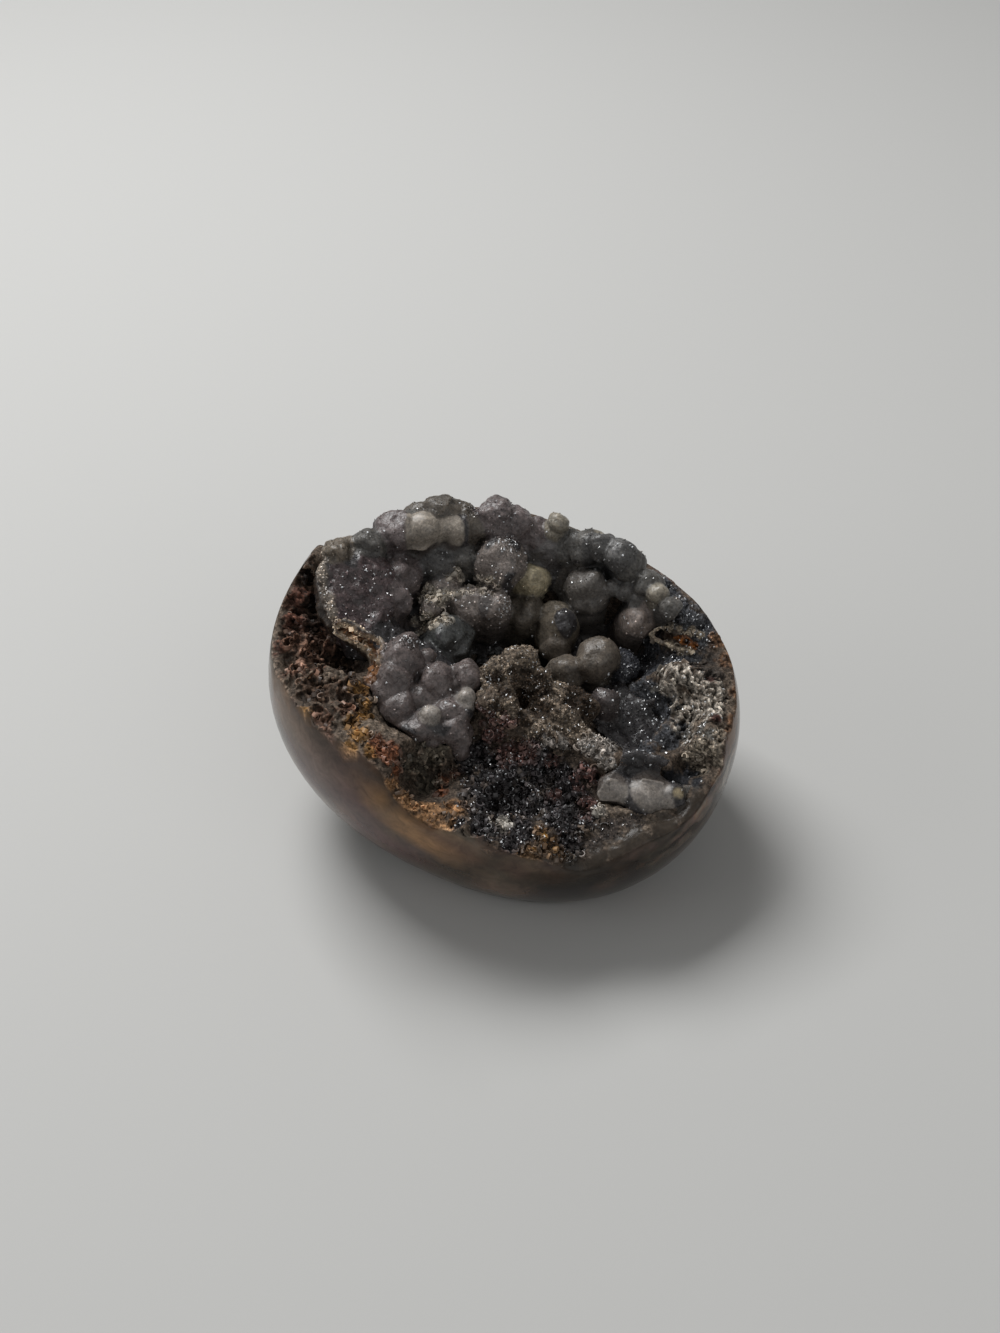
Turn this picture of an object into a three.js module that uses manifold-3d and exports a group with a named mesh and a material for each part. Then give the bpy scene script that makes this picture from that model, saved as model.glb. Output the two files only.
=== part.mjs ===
// Grape agate ball: a lump of botryoidal chalcedony, ground and polished to an egg-like ball with a
// small flat to rest on. Its natural open face is left rough on top: a crumbly stone relief around a
// hollow that is lined with round chalcedony grapes.
// Millimetres, +Z up, origin on the resting flat below the middle of the ball.
import * as THREE from 'three';
import { mergeVertices } from 'three/addons/utils/BufferGeometryUtils.js';
import Module from 'manifold-3d';

const wasm = await Module();
wasm.setup();

// Driving dimensions. u is the open face's long way, v its short way, and w points straight out of it.
const HALF_LENGTH = 30.5; // of the polished ball, along u
const HALF_WIDTH = 24.4; // along v
const HALF_HEIGHT = 24.0; // along w
const SQUARENESS = 2.2; // 2 is a true ellipsoid, more is boxier
const RESTING_DEPTH = 19.5; // from the middle of the ball down to the flat
const FACE_LEAN = 24; // degrees that the open face leans forward, toward -Y
const FACE_ROLL = 10; // degrees that it leans to the right, toward +X
const FACE_TURN = -23.4; // degrees that its long way is turned about w
const BALL_DETAIL = 8; // subdivisions of the ball's icosahedron
const CUT_SIDE = 100; // of the block that cuts the flat
const CUT_DEPTH = 40; // of that block
const GRID_STEP = 2.0; // spacing of the relief's points
const GRID_MARGIN = 1.5; // that the relief reaches past the ball
const RELIEF_FLOOR = -28; // under the ball's lowest point
const FOOT_DEPTH = 1.5; // that a grape's foot is sunk in the stone, before it is cut to the gap
const FOOT_SPREAD = 0.7; // share of a grape's radius at which the stone under its foot is felt
const STEM_SQUARENESS = 6; // of the straight stem under a grape's round head
const FINE_RADIUS = 3.25; // grapes larger than this get a finer ball
const SMALL_RADIUS = 1.45; // grapes smaller than this are bumps of the lining
const LINING = 1.1; // thickness of the crust between its grapes
const CRUST_GAP = 0.35; // kept between the crust and the stone
const CRUST_EDGE_SLOPE = 2.5; // steepness of the crust's rounded edge
const OUTSIDE_DROP = -3; // the lining's height outside its outline, under the stone's surface
const FORM_CORE = 0.55; // share of a form's half size that is at its own level
const FORM_REACH = 1.15; // share of it where the form has faded out
const MERGE_DISTANCE = 1e-4; // of points that are one
const ROUGHNESS = 0.45; // height of the crumbly grain in the stone's relief
// The grain's waves, in radians to a millimetre: a coarse pair that bend each other, and a fine pair.
const COARSE_GRAIN = { u: 1.9, v: 2.3, swirlU: 1.1, swirlV: 0.9, bendU: 2.3, bendV: 1.7, share: 0.6 };
const FINE_GRAIN = { u: 4.1, v: 3.3, crossU: -2.9, crossV: 4.7, share: 0.4 };

// Height w of the rough face where it meets the polished skin, by degrees around the ball
// from +u through +v.
const RIM_LEVELS = [
  [0, 12.1], [22, 11.4], [45, 9.6], [62, 8.4], [80, 6.6], [100, 5], [118, 2.5], [133, -3],
  [149, -4.5], [160, 0], [168, 6.6], [177, 8.6], [186, 8.2], [194, 6.6], [206, 8.2], [218, 7.2],
  [229, 9.6], [240, 11.4], [250, 12.2], [259, 9.4], [266, 7.6], [277, 9.4], [288, 9.6],
  [297, 8.4], [306, 7.0], [315, 9.8], [328, 10.2], [340, 11.0], [360, 12.1],
];

// Hollows, pits, ledges and knobs of the stone: middle u, v, half sizes, turn in degrees and the
// height w there.
const STONE_FORMS = [
  { name: 'back crest', at: [-19, 12.5], half: [9.5, 4.2], turn: 38, level: 4.6 },
  { name: 'seat under the grapes', at: [-2, 7.5], half: [26, 15], turn: -4, level: 3.2 },
  { name: 'main hollow', at: [-1, 7.5], half: [13, 8.5], turn: 8, level: -6 },
  { name: 'left arm of the hollow', at: [-14.5, 4.5], half: [6.5, 4.5], turn: 10, level: -1.5 },
  { name: 'right arm of the hollow', at: [10, 12], half: [6.5, 5.5], turn: 0, level: -2.5 },
  { name: 'shelf under the left slab', at: [-22.5, 3], half: [5.5, 6], turn: 0, level: 4.5 },
  { name: 'shelf under the front grapes', at: [-9, -9], half: [7.5, 6.5], turn: -15, level: 5.6 },
  { name: 'left cavity', at: [-25.5, -6.5], half: [6, 7.5], turn: 25, level: 2.8 },
  { name: 'hole in the left cavity', at: [-19.8, -7.2], half: [3, 2.3], turn: 0, level: -0.5 },
  { name: 'upper left pit', at: [-27.6, -1.8], half: [1.8, 3.2], turn: 10, level: 3.4 },
  { name: 'gold vein', at: [-15.5, -13.5], half: [2.5, 4], turn: 35, level: 9.4 },
  { name: 'orange knob', at: [-9.7, -18.3], half: [2.8, 2.2], turn: 0, level: 11.6 },
  { name: 'ribbed recess', at: [-4, -17.6], half: [3.4, 3.6], turn: 0, level: 4.6 },
  { name: 'ochre ledge', at: [-1.6, -21.6], half: [4, 2], turn: 0, level: 8.4 },
  { name: 'front druse', at: [8, -13.5], half: [12.5, 8.5], turn: -12, level: 6.6 },
  { name: 'left pit of the druse', at: [0.3, -12], half: [2.4, 2.8], turn: 0, level: 2.8 },
  { name: 'lower pit of the druse', at: [5.4, -16.3], half: [2.8, 2.1], turn: 0, level: 3.4 },
  { name: 'middle pit of the druse', at: [7.8, -13], half: [2, 1.8], turn: 0, level: 4.2 },
  { name: 'right pit of the druse', at: [12.5, -12], half: [2.8, 2], turn: 0, level: 4.4 },
  { name: 'foot of the druse', at: [11, -18.4], half: [4, 1.8], turn: -20, level: 9.2 },
  { name: 'blue hollow', at: [17.3, 2], half: [7, 5.8], turn: 0, level: 3.4 },
  { name: 'seat of the sawn grapes', at: [20.6, -8.2], half: [6, 3.6], turn: 12, level: 7 },
  { name: 'pocket at the right edge', at: [24.6, -2.4], half: [2.2, 2], turn: 0, level: 6.4 },
  { name: 'sandy ridge, top', at: [1.1, 0.2], half: [3.2, 3.2], turn: 0, level: 9.8 },
  { name: 'sandy ridge, left', at: [-1.2, -4], half: [2.8, 2.8], turn: 0, level: 10.4 },
  { name: 'sandy ridge, front', at: [1, -7.3], half: [2.8, 2.4], turn: 0, level: 10.8 },
  { name: 'sandy ridge, back', at: [4.8, -2], half: [2.8, 2.8], turn: 0, level: 9.8 },
  { name: 'sandy ridge, middle', at: [5.7, -6.3], half: [2.8, 2.3], turn: 0, level: 10.6 },
  { name: 'sandy ridge, right', at: [9.4, -4.2], half: [2.7, 2.4], turn: 0, level: 10.1 },
  { name: 'pale knob by the ridge', at: [12.8, -6.2], half: [2.5, 2], turn: 0, level: 10.5 },
  { name: 'crumbly shelf', at: [19.4, 8.4], half: [4.2, 2.7], turn: 12, level: 10.8 },
  { name: 'crumbly shelf, corner', at: [23.2, 8.6], half: [3, 3.4], turn: 0, level: 11.8 },
  { name: 'crumbly shelf, edge', at: [25.4, 2.6], half: [2.6, 4], turn: 0, level: 12.2 },
  { name: 'crack', at: [18.6, 13.2], half: [5, 1.5], turn: -32, level: 6.6 },
  { name: 'dark knob', at: [16.4, 16.8], half: [3.4, 2], turn: -35, level: 10.2 },
];

// Outline of the crust on the open face, as points u, v.
const CRUST_OUTLINE = [
  [-28.4, 2.2], [-25.8, -2.2], [-22.6, -5.2], [-16.6, -6.8], [-16.2, -10.4], [-13, -14.2],
  [-8.6, -16],
  [-4.6, -14.6], [-2.4, -11.6], [-3.2, -5.6], [-1.6, -1.6], [-1.2, 2.6], [3.4, 3], [6.8, 0.8], [9.6, -0.8],
  [12.6, -3.6], [15, -6], [14.8, -10.4], [19.4, -12], [24.2, -9.6], [26.4, -6.2], [22.4, -4.4], [21.8, 0],
  [22.6, 4], [19, 6.2], [14.6, 7.2], [13.6, 10.8], [15.2, 14.2], [12.6, 18.8], [7.8, 21.4], [3.6, 22.8],
  [-2, 22.4], [-7.6, 21.8], [-13, 20], [-18.2, 16.6], [-22.8, 12], [-26.4, 8],
];

// Grapes of the crust: middle u, v, height w of that middle, radius, and the shape from 1.4
// (pointed) over 2 (round) to 3 (blocky). Each one grows up from the stone below it.
const BACK_CREST = [
  [-26.5, 4, 8.2, 1.8, 2], [-23.6, 7.2, 7, 2.3, 2], [-21.2, 10.8, 7, 2.6, 2.4],
  [-18.2, 12.6, 8, 2.4, 2.8], [-16.6, 16, 8, 2.3, 1.6], [-14.2, 15, 7.6, 2.4, 2.6],
  [-9.8, 18.4, 7.2, 3.1, 2.2], [-6.4, 18.8, 6, 2.4, 2], [-3.8, 19.2, 5, 2.9, 2], [-2.9, 21, 8.6, 1.3, 2],
  [-0.6, 20, 5.6, 2.5, 2], [1.8, 20.6, 6.6, 2.3, 2], [4.4, 21.2, 7.4, 2.4, 1.7], [7.8, 20, 7.6, 2.3, 2],
  [10.6, 18.8, 7.8, 2, 2], [12.4, 17.5, 9, 1.5, 2], [14.4, 16.2, 9, 1.5, 2],
];
const LEFT_SLAB = [
  [-24.8, 1.8, 6.2, 2.5, 2.6], [-21.6, 3.8, 6, 2.8, 3], [-23.2, -1.2, 6, 2.6, 2.6],
  [-20, 0.6, 5.8, 2.8, 3], [-17.8, 3.2, 4.6, 2.5, 2.2], [-20.6, -3, 5.6, 2.4, 2.4],
  [-18.4, 7, 4.2, 2.6, 2],
];
const HOLLOW_GRAPES = [
  [-15.2, 11.2, 4, 2.7, 2], [-12, 13, 4.6, 2.3, 2], [-7.8, 14.3, 5.4, 3.1, 2.2], [-3.3, 15, 3, 2.3, 2],
  [-9, 8.2, 2.8, 2.6, 2.4], [-5.8, 9.2, 3, 2.3, 2], [-12.8, 8.6, 2.4, 2.3, 2], [-9.3, 2.8, 1.4, 3.2, 2],
  [-2, 11.6, 0.8, 2.8, 2], [3.2, 10.8, 1.8, 2.5, 1.8], [4.4, 16.6, 2.8, 3.3, 1.5],
  [11.4, 15.6, 4.6, 2.4, 2], [8.9, 7.6, 4.8, 2.4, 2], [5.9, 5, 3.4, 2.3, 2], [12, 2, 6.8, 1.9, 2.2],
  [12.6, 9.8, 2.4, 2.3, 2],
];
const FRONT_CLUSTER = [
  [-12.7, -5.9, 8.6, 2.9, 1.6], [-11.9, -9.8, 7.8, 3.3, 1.8], [-7.4, -7.6, 8.4, 2.6, 1.8],
  [-5, -4.8, 8.2, 2.4, 1.6], [-6.8, -11.5, 10.4, 1.5, 2], [-3.9, -8.2, 9.4, 1.9, 2],
  [-7.6, -12.8, 8, 2.6, 2], [-4, -11.2, 8.4, 2.2, 2],
];
const SAWN_GRAPES = [
  [16.9, -8.8, 8.4, 2.3, 2], [20.7, -8.4, 8.6, 2.8, 2.2], [24, -7, 9, 2.2, 2],
];
// The pale crust edge that stands over the left cavity: its path as points u, v, its top and its
// thickness.
const CRUST_LIP = [
  [-27.2, 1.2], [-25, -2.2], [-22, -4.4], [-16.6, -6], [-15.2, -8], [-15.6, -10.6],
];
const LIP_TOP = 9.3;
const LIP_THICKNESS = 1.7;
const LIP_STEPS = 8;

const allGrapes = [...BACK_CREST, ...LEFT_SLAB, ...HOLLOW_GRAPES, ...FRONT_CLUSTER, ...SAWN_GRAPES];
const smallGrapes = allGrapes.filter(([, , , radius]) => radius < SMALL_RADIUS);

const degrees = THREE.MathUtils.degToRad;
const clamp = THREE.MathUtils.clamp;

function rimHeight(angle) {
  // Height of the rim at an angle, eased between the listed levels.
  const turned = ((angle % 360) + 360) % 360;
  const next = RIM_LEVELS.findIndex(([at]) => at >= turned);
  if (next <= 0) return RIM_LEVELS[0][1];
  const [from, low] = RIM_LEVELS[next - 1];
  const [to, high] = RIM_LEVELS[next];
  return THREE.MathUtils.lerp(low, high, THREE.MathUtils.smoothstep(turned, from, to));
}

function grain(u, v) {
  // Crumbly, repeatable unevenness between -1 and 1.
  const bentU = u * COARSE_GRAIN.u + COARSE_GRAIN.bendU * Math.sin(v * COARSE_GRAIN.swirlV);
  const bentV = v * COARSE_GRAIN.v + COARSE_GRAIN.bendV * Math.sin(u * COARSE_GRAIN.swirlU);
  const along = Math.sin(u * FINE_GRAIN.u + v * FINE_GRAIN.v);
  const across = Math.sin(u * FINE_GRAIN.crossU + v * FINE_GRAIN.crossV);
  const coarse = Math.sin(bentU) * Math.sin(bentV);
  return COARSE_GRAIN.share * coarse + FINE_GRAIN.share * along * across;
}

function stoneHeight(u, v) {
  const angle = THREE.MathUtils.radToDeg(Math.atan2(v / HALF_WIDTH, u / HALF_LENGTH));
  let height = rimHeight(angle);
  for (const form of STONE_FORMS) {
    const place = new THREE.Vector2(u - form.at[0], v - form.at[1]);
    place.rotateAround(new THREE.Vector2(), -degrees(form.turn));
    const reach = Math.hypot(place.x / form.half[0], place.y / form.half[1]);
    const weight = 1 - THREE.MathUtils.smoothstep(reach, FORM_CORE, FORM_REACH);
    height = THREE.MathUtils.lerp(height, form.level, weight);
  }
  return height + ROUGHNESS * grain(u, v);
}

function insideOutline(u, v) {
  // Distance to the crust's outline, positive inside it.
  const place = new THREE.Vector3(u, v, 0);
  let nearest = Infinity;
  let inside = false;
  CRUST_OUTLINE.forEach(([u1, v1], index) => {
    const [u2, v2] = CRUST_OUTLINE[(index + 1) % CRUST_OUTLINE.length];
    const side = new THREE.Line3(new THREE.Vector3(u1, v1, 0), new THREE.Vector3(u2, v2, 0));
    const closest = side.closestPointToPoint(place, true, new THREE.Vector3());
    nearest = Math.min(nearest, closest.distanceTo(place));
    if ((v1 > v) !== (v2 > v) && u < u1 + ((v - v1) / (v2 - v1)) * (u2 - u1)) inside = !inside;
  });
  return inside ? nearest : -nearest;
}

function liningHeight(u, v) {
  // The lining over the stone, with the small grapes as bumps in it.
  const rise = clamp(insideOutline(u, v) * CRUST_EDGE_SLOPE, OUTSIDE_DROP, LINING);
  const bumps = smallGrapes.map(([u0, v0, middle, radius]) => {
    const across = Math.hypot(u - u0, v - v0);
    return across < radius ? middle + Math.sqrt(radius ** 2 - across ** 2) : -Infinity;
  });
  return Math.max(stoneHeight(u, v) + rise, ...bumps);
}

function solidOf(geometry) {
  const bare = geometry.clone();
  bare.deleteAttribute('normal');
  bare.deleteAttribute('uv');
  const merged = mergeVertices(bare, MERGE_DISTANCE);
  const vertProperties = new Float32Array(merged.attributes.position.array);
  const triVerts = new Uint32Array(merged.index.array);
  return new wasm.Manifold(new wasm.Mesh({ numProp: 3, vertProperties, triVerts }));
}

function geometryOf(solid) {
  const mesh = solid.getMesh();
  const geometry = new THREE.BufferGeometry();
  geometry.setAttribute('position', new THREE.BufferAttribute(new Float32Array(mesh.vertProperties), 3));
  geometry.setIndex(new THREE.BufferAttribute(new Uint32Array(mesh.triVerts), 1));
  geometry.computeVertexNormals();
  return geometry;
}

function roundForm(halves, squareness, detail) {
  // An icosahedron blown up to an ellipsoid whose corners are filled out, or drawn in, by its squareness.
  const geometry = new THREE.IcosahedronGeometry(1, detail);
  const points = geometry.attributes.position;
  const point = new THREE.Vector3();
  for (let i = 0; i < points.count; i += 1) {
    point.fromBufferAttribute(points, i);
    const sum = point.toArray().reduce((total, part) => total + Math.abs(part) ** squareness, 0);
    point.multiplyScalar(sum ** (-1 / squareness)).multiply(halves);
    points.setXYZ(i, point.x, point.y, point.z);
  }
  return geometry;
}

function relief(height) {
  // A block from RELIEF_FLOOR up to height(u, v), on one grid that is wider than the ball.
  const reachU = HALF_LENGTH + GRID_MARGIN;
  const reachV = HALF_WIDTH + GRID_MARGIN;
  const countU = Math.round((2 * reachU) / GRID_STEP);
  const countV = Math.round((2 * reachV) / GRID_STEP);
  const block = new THREE.BoxGeometry(2 * reachU, 2 * reachV, 1, countU, countV, 1);
  const points = block.attributes.position;
  for (let i = 0; i < points.count; i += 1) {
    const top = points.getZ(i) > 0;
    points.setZ(i, top ? height(points.getX(i), points.getY(i)) : RELIEF_FLOOR);
  }
  return solidOf(block);
}

function grape([u, v, middle, radius, shape]) {
  // A round head on a stem as wide as itself, which is sunk in the lowest stone around it.
  const spread = FOOT_SPREAD * radius;
  const around = [[0, 0], [spread, 0], [-spread, 0], [0, spread], [0, -spread]];
  const ground = around.map(([aside, ahead]) => stoneHeight(u + aside, v + ahead));
  const stem = middle - Math.min(middle - radius, Math.min(...ground) - FOOT_DEPTH);
  const lump = roundForm(new THREE.Vector3(radius, radius, radius), shape, radius > FINE_RADIUS ? 2 : 1);
  const points = lump.attributes.position;
  for (let i = 0; i < points.count; i += 1) {
    const across = Math.hypot(points.getX(i), points.getY(i)) / radius;
    const down = -points.getZ(i) / radius;
    if (down > 0) {
      const grow = (across ** STEM_SQUARENESS + down ** STEM_SQUARENESS) ** (-1 / STEM_SQUARENESS);
      points.setXYZ(i, points.getX(i) * grow, points.getY(i) * grow, -down * grow * stem);
    }
  }
  lump.rotateZ(u + v);
  lump.translate(u, v, middle);
  return solidOf(lump);
}

function lip() {
  // A thin wall along the lip's path, from under the stone's surface to its top.
  const path = new THREE.SplineCurve(CRUST_LIP.map(([u, v]) => new THREE.Vector2(u, v)));
  const spots = path.getSpacedPoints(LIP_STEPS);
  const side = (sign) => spots.map((spot, index) => {
    const along = path.getTangentAt(index / LIP_STEPS);
    const across = new THREE.Vector2(-along.y, along.x).multiplyScalar((sign * LIP_THICKNESS) / 2);
    return spot.clone().add(across);
  });
  const outline = new THREE.Shape([...side(1), ...side(-1).reverse()]);
  const wall = new THREE.ExtrudeGeometry(outline, { depth: LIP_TOP - RELIEF_FLOOR, bevelEnabled: false });
  wall.translate(0, 0, RELIEF_FLOOR);
  return solidOf(wall);
}

// The polished ball with its flat: the box that cuts the flat stays level while the ball is tilted.
const tilt = new THREE.Euler(degrees(FACE_LEAN), degrees(FACE_ROLL), degrees(FACE_TURN), 'XYZ');
const level = new THREE.Matrix4().makeRotationFromEuler(tilt).invert();
const under = new THREE.BoxGeometry(CUT_SIDE, CUT_SIDE, CUT_DEPTH);
under.translate(0, 0, -RESTING_DEPTH - CUT_DEPTH / 2);
under.applyMatrix4(level);
const ballHalves = new THREE.Vector3(HALF_LENGTH, HALF_WIDTH, HALF_HEIGHT);
const ball = solidOf(roundForm(ballHalves, SQUARENESS, BALL_DETAIL)).subtract(solidOf(under));

const stone = ball.intersect(relief(stoneHeight));
const largeGrapes = allGrapes.filter(([, , , radius]) => radius >= SMALL_RADIUS).map(grape);
const filled = [...largeGrapes, lip()].reduce((whole, lump) => whole.add(lump), relief(liningHeight));
const room = relief((u, v) => stoneHeight(u, v) + CRUST_GAP);
const crust = filled.subtract(room).intersect(ball);

const agateBody = new THREE.Mesh(
  geometryOf(stone),
  new THREE.MeshStandardMaterial({ color: 0x6e5a50, roughness: 0.25, metalness: 0 }),
);
agateBody.name = 'agate_body';

const grapeCrust = new THREE.Mesh(
  geometryOf(crust),
  new THREE.MeshStandardMaterial({ color: 0x6c6670, roughness: 0.55, metalness: 0 }),
);
grapeCrust.name = 'grape_crust';

const group = new THREE.Group();
group.rotation.copy(tilt);
group.position.z = RESTING_DEPTH;
group.add(agateBody, grapeCrust);

export default group;
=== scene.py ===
import math
import time

import bmesh
import bpy
import numpy as np
from mathutils import Matrix, Vector, noise
from mathutils.bvhtree import BVHTree


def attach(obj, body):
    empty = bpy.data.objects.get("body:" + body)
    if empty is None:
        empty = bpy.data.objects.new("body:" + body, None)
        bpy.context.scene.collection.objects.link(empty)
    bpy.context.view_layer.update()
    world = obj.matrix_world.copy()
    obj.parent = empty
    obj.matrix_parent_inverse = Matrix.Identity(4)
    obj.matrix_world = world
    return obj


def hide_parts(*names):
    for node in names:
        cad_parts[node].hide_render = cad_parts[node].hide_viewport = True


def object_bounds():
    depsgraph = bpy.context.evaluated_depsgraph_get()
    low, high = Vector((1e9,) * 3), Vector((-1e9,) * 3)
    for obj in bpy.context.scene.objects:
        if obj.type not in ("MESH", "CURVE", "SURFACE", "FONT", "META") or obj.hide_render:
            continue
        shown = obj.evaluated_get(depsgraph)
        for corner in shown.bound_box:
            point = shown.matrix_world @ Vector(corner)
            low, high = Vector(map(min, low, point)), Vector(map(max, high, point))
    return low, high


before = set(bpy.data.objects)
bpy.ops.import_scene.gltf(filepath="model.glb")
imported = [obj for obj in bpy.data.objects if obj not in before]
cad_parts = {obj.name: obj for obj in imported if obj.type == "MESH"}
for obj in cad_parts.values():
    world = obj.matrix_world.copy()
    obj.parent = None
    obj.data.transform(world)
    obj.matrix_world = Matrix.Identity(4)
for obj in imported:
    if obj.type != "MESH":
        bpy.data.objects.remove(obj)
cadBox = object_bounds()
started = time.time()
mm = 0.001


def stage(words):
    print(f"[{time.time() - started:5.1f} s] {words}")


# The polished ball. Pieces are made in the open face's own frame, in millimetres: u runs along the
# ball, v across it and w straight out of the face, from the ball's middle.
ball = {
    "halfLength": 30.5, "halfWidth": 24.4, "halfHeight": 24.0, "squareness": 2.2,
    "middleUp": 19.5, "lean": 24, "roll": 10, "turn": -23.4,
    "skinDepth": 0.985,       # share of the ball's size past which a point may be polished skin
    "skinFacing": 0.78,       # how straight out such a point has to look
    "flatNear": 0.25, "flatFacing": 0.9,      # the same for the flat under the ball, in mm above it
}
ballHalves = np.array([ball["halfLength"], ball["halfWidth"], ball["halfHeight"]])
faceTilt = (
    Matrix.Rotation(math.radians(ball["lean"]), 4, "X")
    @ Matrix.Rotation(math.radians(ball["roll"]), 4, "Y")
    @ Matrix.Rotation(math.radians(ball["turn"]), 4, "Z")
)
faceToRow = Matrix.Translation((0, 0, ball["middleUp"] * mm)) @ faceTilt @ Matrix.Scale(mm, 4)
rowToFace = faceToRow.inverted()
downInFace = np.array((faceTilt.inverted() @ Vector((0, 0, -1, 0)))[:3])
up = Vector((0, 0, 1))


def paint(words):
    # "#rrggbb" as a picture shows it, to the linear colour that a shader takes
    values = [int(words[i:i + 2], 16) / 255 for i in (1, 3, 5)]
    return np.array([v / 12.92 if v <= 0.04045 else ((v + 0.055) / 1.055) ** 2.4 for v in values])


def painted(colours, share, colour):
    # the colours with a share of that paint laid over them
    share = share[:, None]
    return colours * (1 - share) + paint(colour) * share


def newPiece(name, mesh):
    piece = bpy.data.objects.new(name, mesh)
    bpy.context.scene.collection.objects.link(piece)
    return piece


def pieceOf(name, bm):
    mesh = bpy.data.meshes.new(name)
    bm.to_mesh(mesh)
    bm.free()
    return newPiece(name, mesh)


def reshape(piece, change, *values):
    # puts the piece's mesh through a change that works on a bmesh
    bm = bmesh.new()
    bm.from_mesh(piece.data)
    change(bm, *values)
    bm.to_mesh(piece.data)
    bm.free()


def copyOfNode(node, name):
    # the CAD solid's shape, in the face's frame, with its loose triangles merged
    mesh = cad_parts[node].data.copy()
    mesh.materials.clear()
    mesh.transform(rowToFace)
    piece = newPiece(name, mesh)
    reshape(piece, lambda bm: bmesh.ops.remove_doubles(bm, verts=bm.verts, dist=0.001))
    return piece


def applyModifiers(piece):
    depsgraph = bpy.context.evaluated_depsgraph_get()
    mesh = bpy.data.meshes.new_from_object(piece.evaluated_get(depsgraph))
    piece.modifiers.clear()
    piece.data = mesh


def voxelRemesh(piece, size):
    remesh = piece.modifiers.new("remesh", "REMESH")
    remesh.mode = "VOXEL"
    remesh.voxel_size = size
    applyModifiers(piece)


def placesOf(mesh):
    places = np.empty(len(mesh.vertices) * 3)
    mesh.vertices.foreach_get("co", places)
    return places.reshape(-1, 3)


def facingOf(mesh):
    facing = np.empty(len(mesh.vertices) * 3)
    mesh.vertices.foreach_get("normal", facing)
    return facing.reshape(-1, 3)


def setPlaces(mesh, places):
    mesh.vertices.foreach_set("co", places.ravel())
    mesh.update()


def relaxed(mesh, places, rounds, share=0.6):
    # the places after rounds of moving each point toward the middle of its neighbours
    edges = np.empty(len(mesh.edges) * 2, dtype=np.int64)
    mesh.edges.foreach_get("vertices", edges)
    ends = edges.reshape(-1, 2)
    starts = np.concatenate([ends[:, 0], ends[:, 1]])
    others = np.concatenate([ends[:, 1], ends[:, 0]])
    count = np.bincount(starts, minlength=len(places))[:, None].clip(1)
    for _ in range(rounds):
        sums = [np.bincount(starts, places[others, axis], len(places)) for axis in range(3)]
        places = places + share * (np.stack(sums, 1) / count - places)
    return places


def relaxedMask(mesh, values, rounds):
    return relaxed(mesh, values[:, None] * np.ones(3), rounds)[:, 0]


def hollowOf(mesh, places, rounds):
    # how far each point lies under the relaxed surface, in mm, and less than 0 where it stands out
    return ((relaxed(mesh, places, rounds) - places) * facingOf(mesh)).sum(1)


def awayFrom(places, spot):
    return np.linalg.norm(places - spot, axis=1)


softNoise = {"fade": 0.6, "finer": 2.1, "gain": 1.3}      # how fast its octaves fade and get finer


def cloud(places, size, seed, octaves=3):
    # soft noise, about -1 to 1, with lumps of that size
    moved = places / size + seed
    fade, finer = softNoise["fade"], softNoise["finer"]
    return np.array([noise.fractal(p, fade, finer, octaves) for p in moved]) * softNoise["gain"]


def noiseVector(place):
    # soft noise in three directions, the same in each run
    shifts = ((9.3, -1.5, -8), (0, 0, 0), (-7.1, 4.4, 5.2))
    return Vector([noise.noise(place + Vector(shift)) for shift in shifts])


def ramp(values, low, high):
    share = np.clip((values - low) / (high - low), 0, 1)
    return share * share * (3 - 2 * share)


def spotWeight(places, spots, edge, ragged):
    # 1 inside the spots [u, v, w, reach], fading to 0 around them along a ragged edge
    nearest = np.full(len(places), 9.0)
    for u, v, w, reach in spots:
        nearest = np.minimum(nearest, awayFrom(places, (u, v, w)) / reach)
    return 1 - ramp(nearest + ragged, 1 - edge, 1 + edge)


def setMask(mesh, name, values):
    mask = mesh.attributes.get(name) or mesh.attributes.new(name, "FLOAT", "POINT")
    mask.data.foreach_set("value", np.asarray(values, dtype=np.float32))


def setTint(mesh, colours):
    tint = mesh.attributes.get("tint") or mesh.attributes.new("tint", "FLOAT_COLOR", "POINT")
    full = np.concatenate([colours, np.ones((len(colours), 1))], axis=1)
    tint.data.foreach_set("color", full.astype(np.float32).ravel())


def maskGroup(piece, name, values):
    # a vertex group for a modifier, its weights in twenty steps
    most = 20
    group = piece.vertex_groups.new(name=name)
    steps = np.round(np.clip(values, 0, 1) * most).astype(int)
    for step in range(1, most + 1):
        group.add(np.flatnonzero(steps == step).tolist(), step / most, "REPLACE")


def displace(piece, name, share, kind, size, depth, level=0.5, holder=None, direction="NORMAL", **settings):
    # pushes the surface in or out by a texture, as far as each point's share says
    maskGroup(piece, name, share)
    texture = bpy.data.textures.new(f"{piece.name} {name}", kind)
    texture.noise_scale = size
    for key, value in settings.items():
        setattr(texture, key, value)
    push = piece.modifiers.new(name, "DISPLACE")
    push.texture = texture
    push.texture_coords = "OBJECT" if holder else "LOCAL"
    push.texture_coords_object = holder
    push.strength = depth
    push.direction = direction
    push.mid_level = level
    push.vertex_group = name


def thin(piece, spare, most):
    # takes faces away, first where they are spare, until about that many triangles are left
    maskGroup(piece, "spare", spare)
    triangles = sum(len(face.vertices) - 2 for face in piece.data.polygons)
    fewer = piece.modifiers.new("thin", "DECIMATE")
    fewer.ratio = min(1, most / triangles)
    fewer.vertex_group = "spare"
    fewer.vertex_group_factor = 4
    applyModifiers(piece)


def ballSize(places):
    share = np.abs(places) / ballHalves
    return (share ** ball["squareness"]).sum(1) ** (1 / ball["squareness"])


def keepInBall(mesh):
    # draws what stands out past the ball back onto it, and returns the places and their earlier sizes
    places = placesOf(mesh)
    size = ballSize(places)
    places /= np.maximum(size, 1)[:, None]
    setPlaces(mesh, places)
    return places, size


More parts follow.
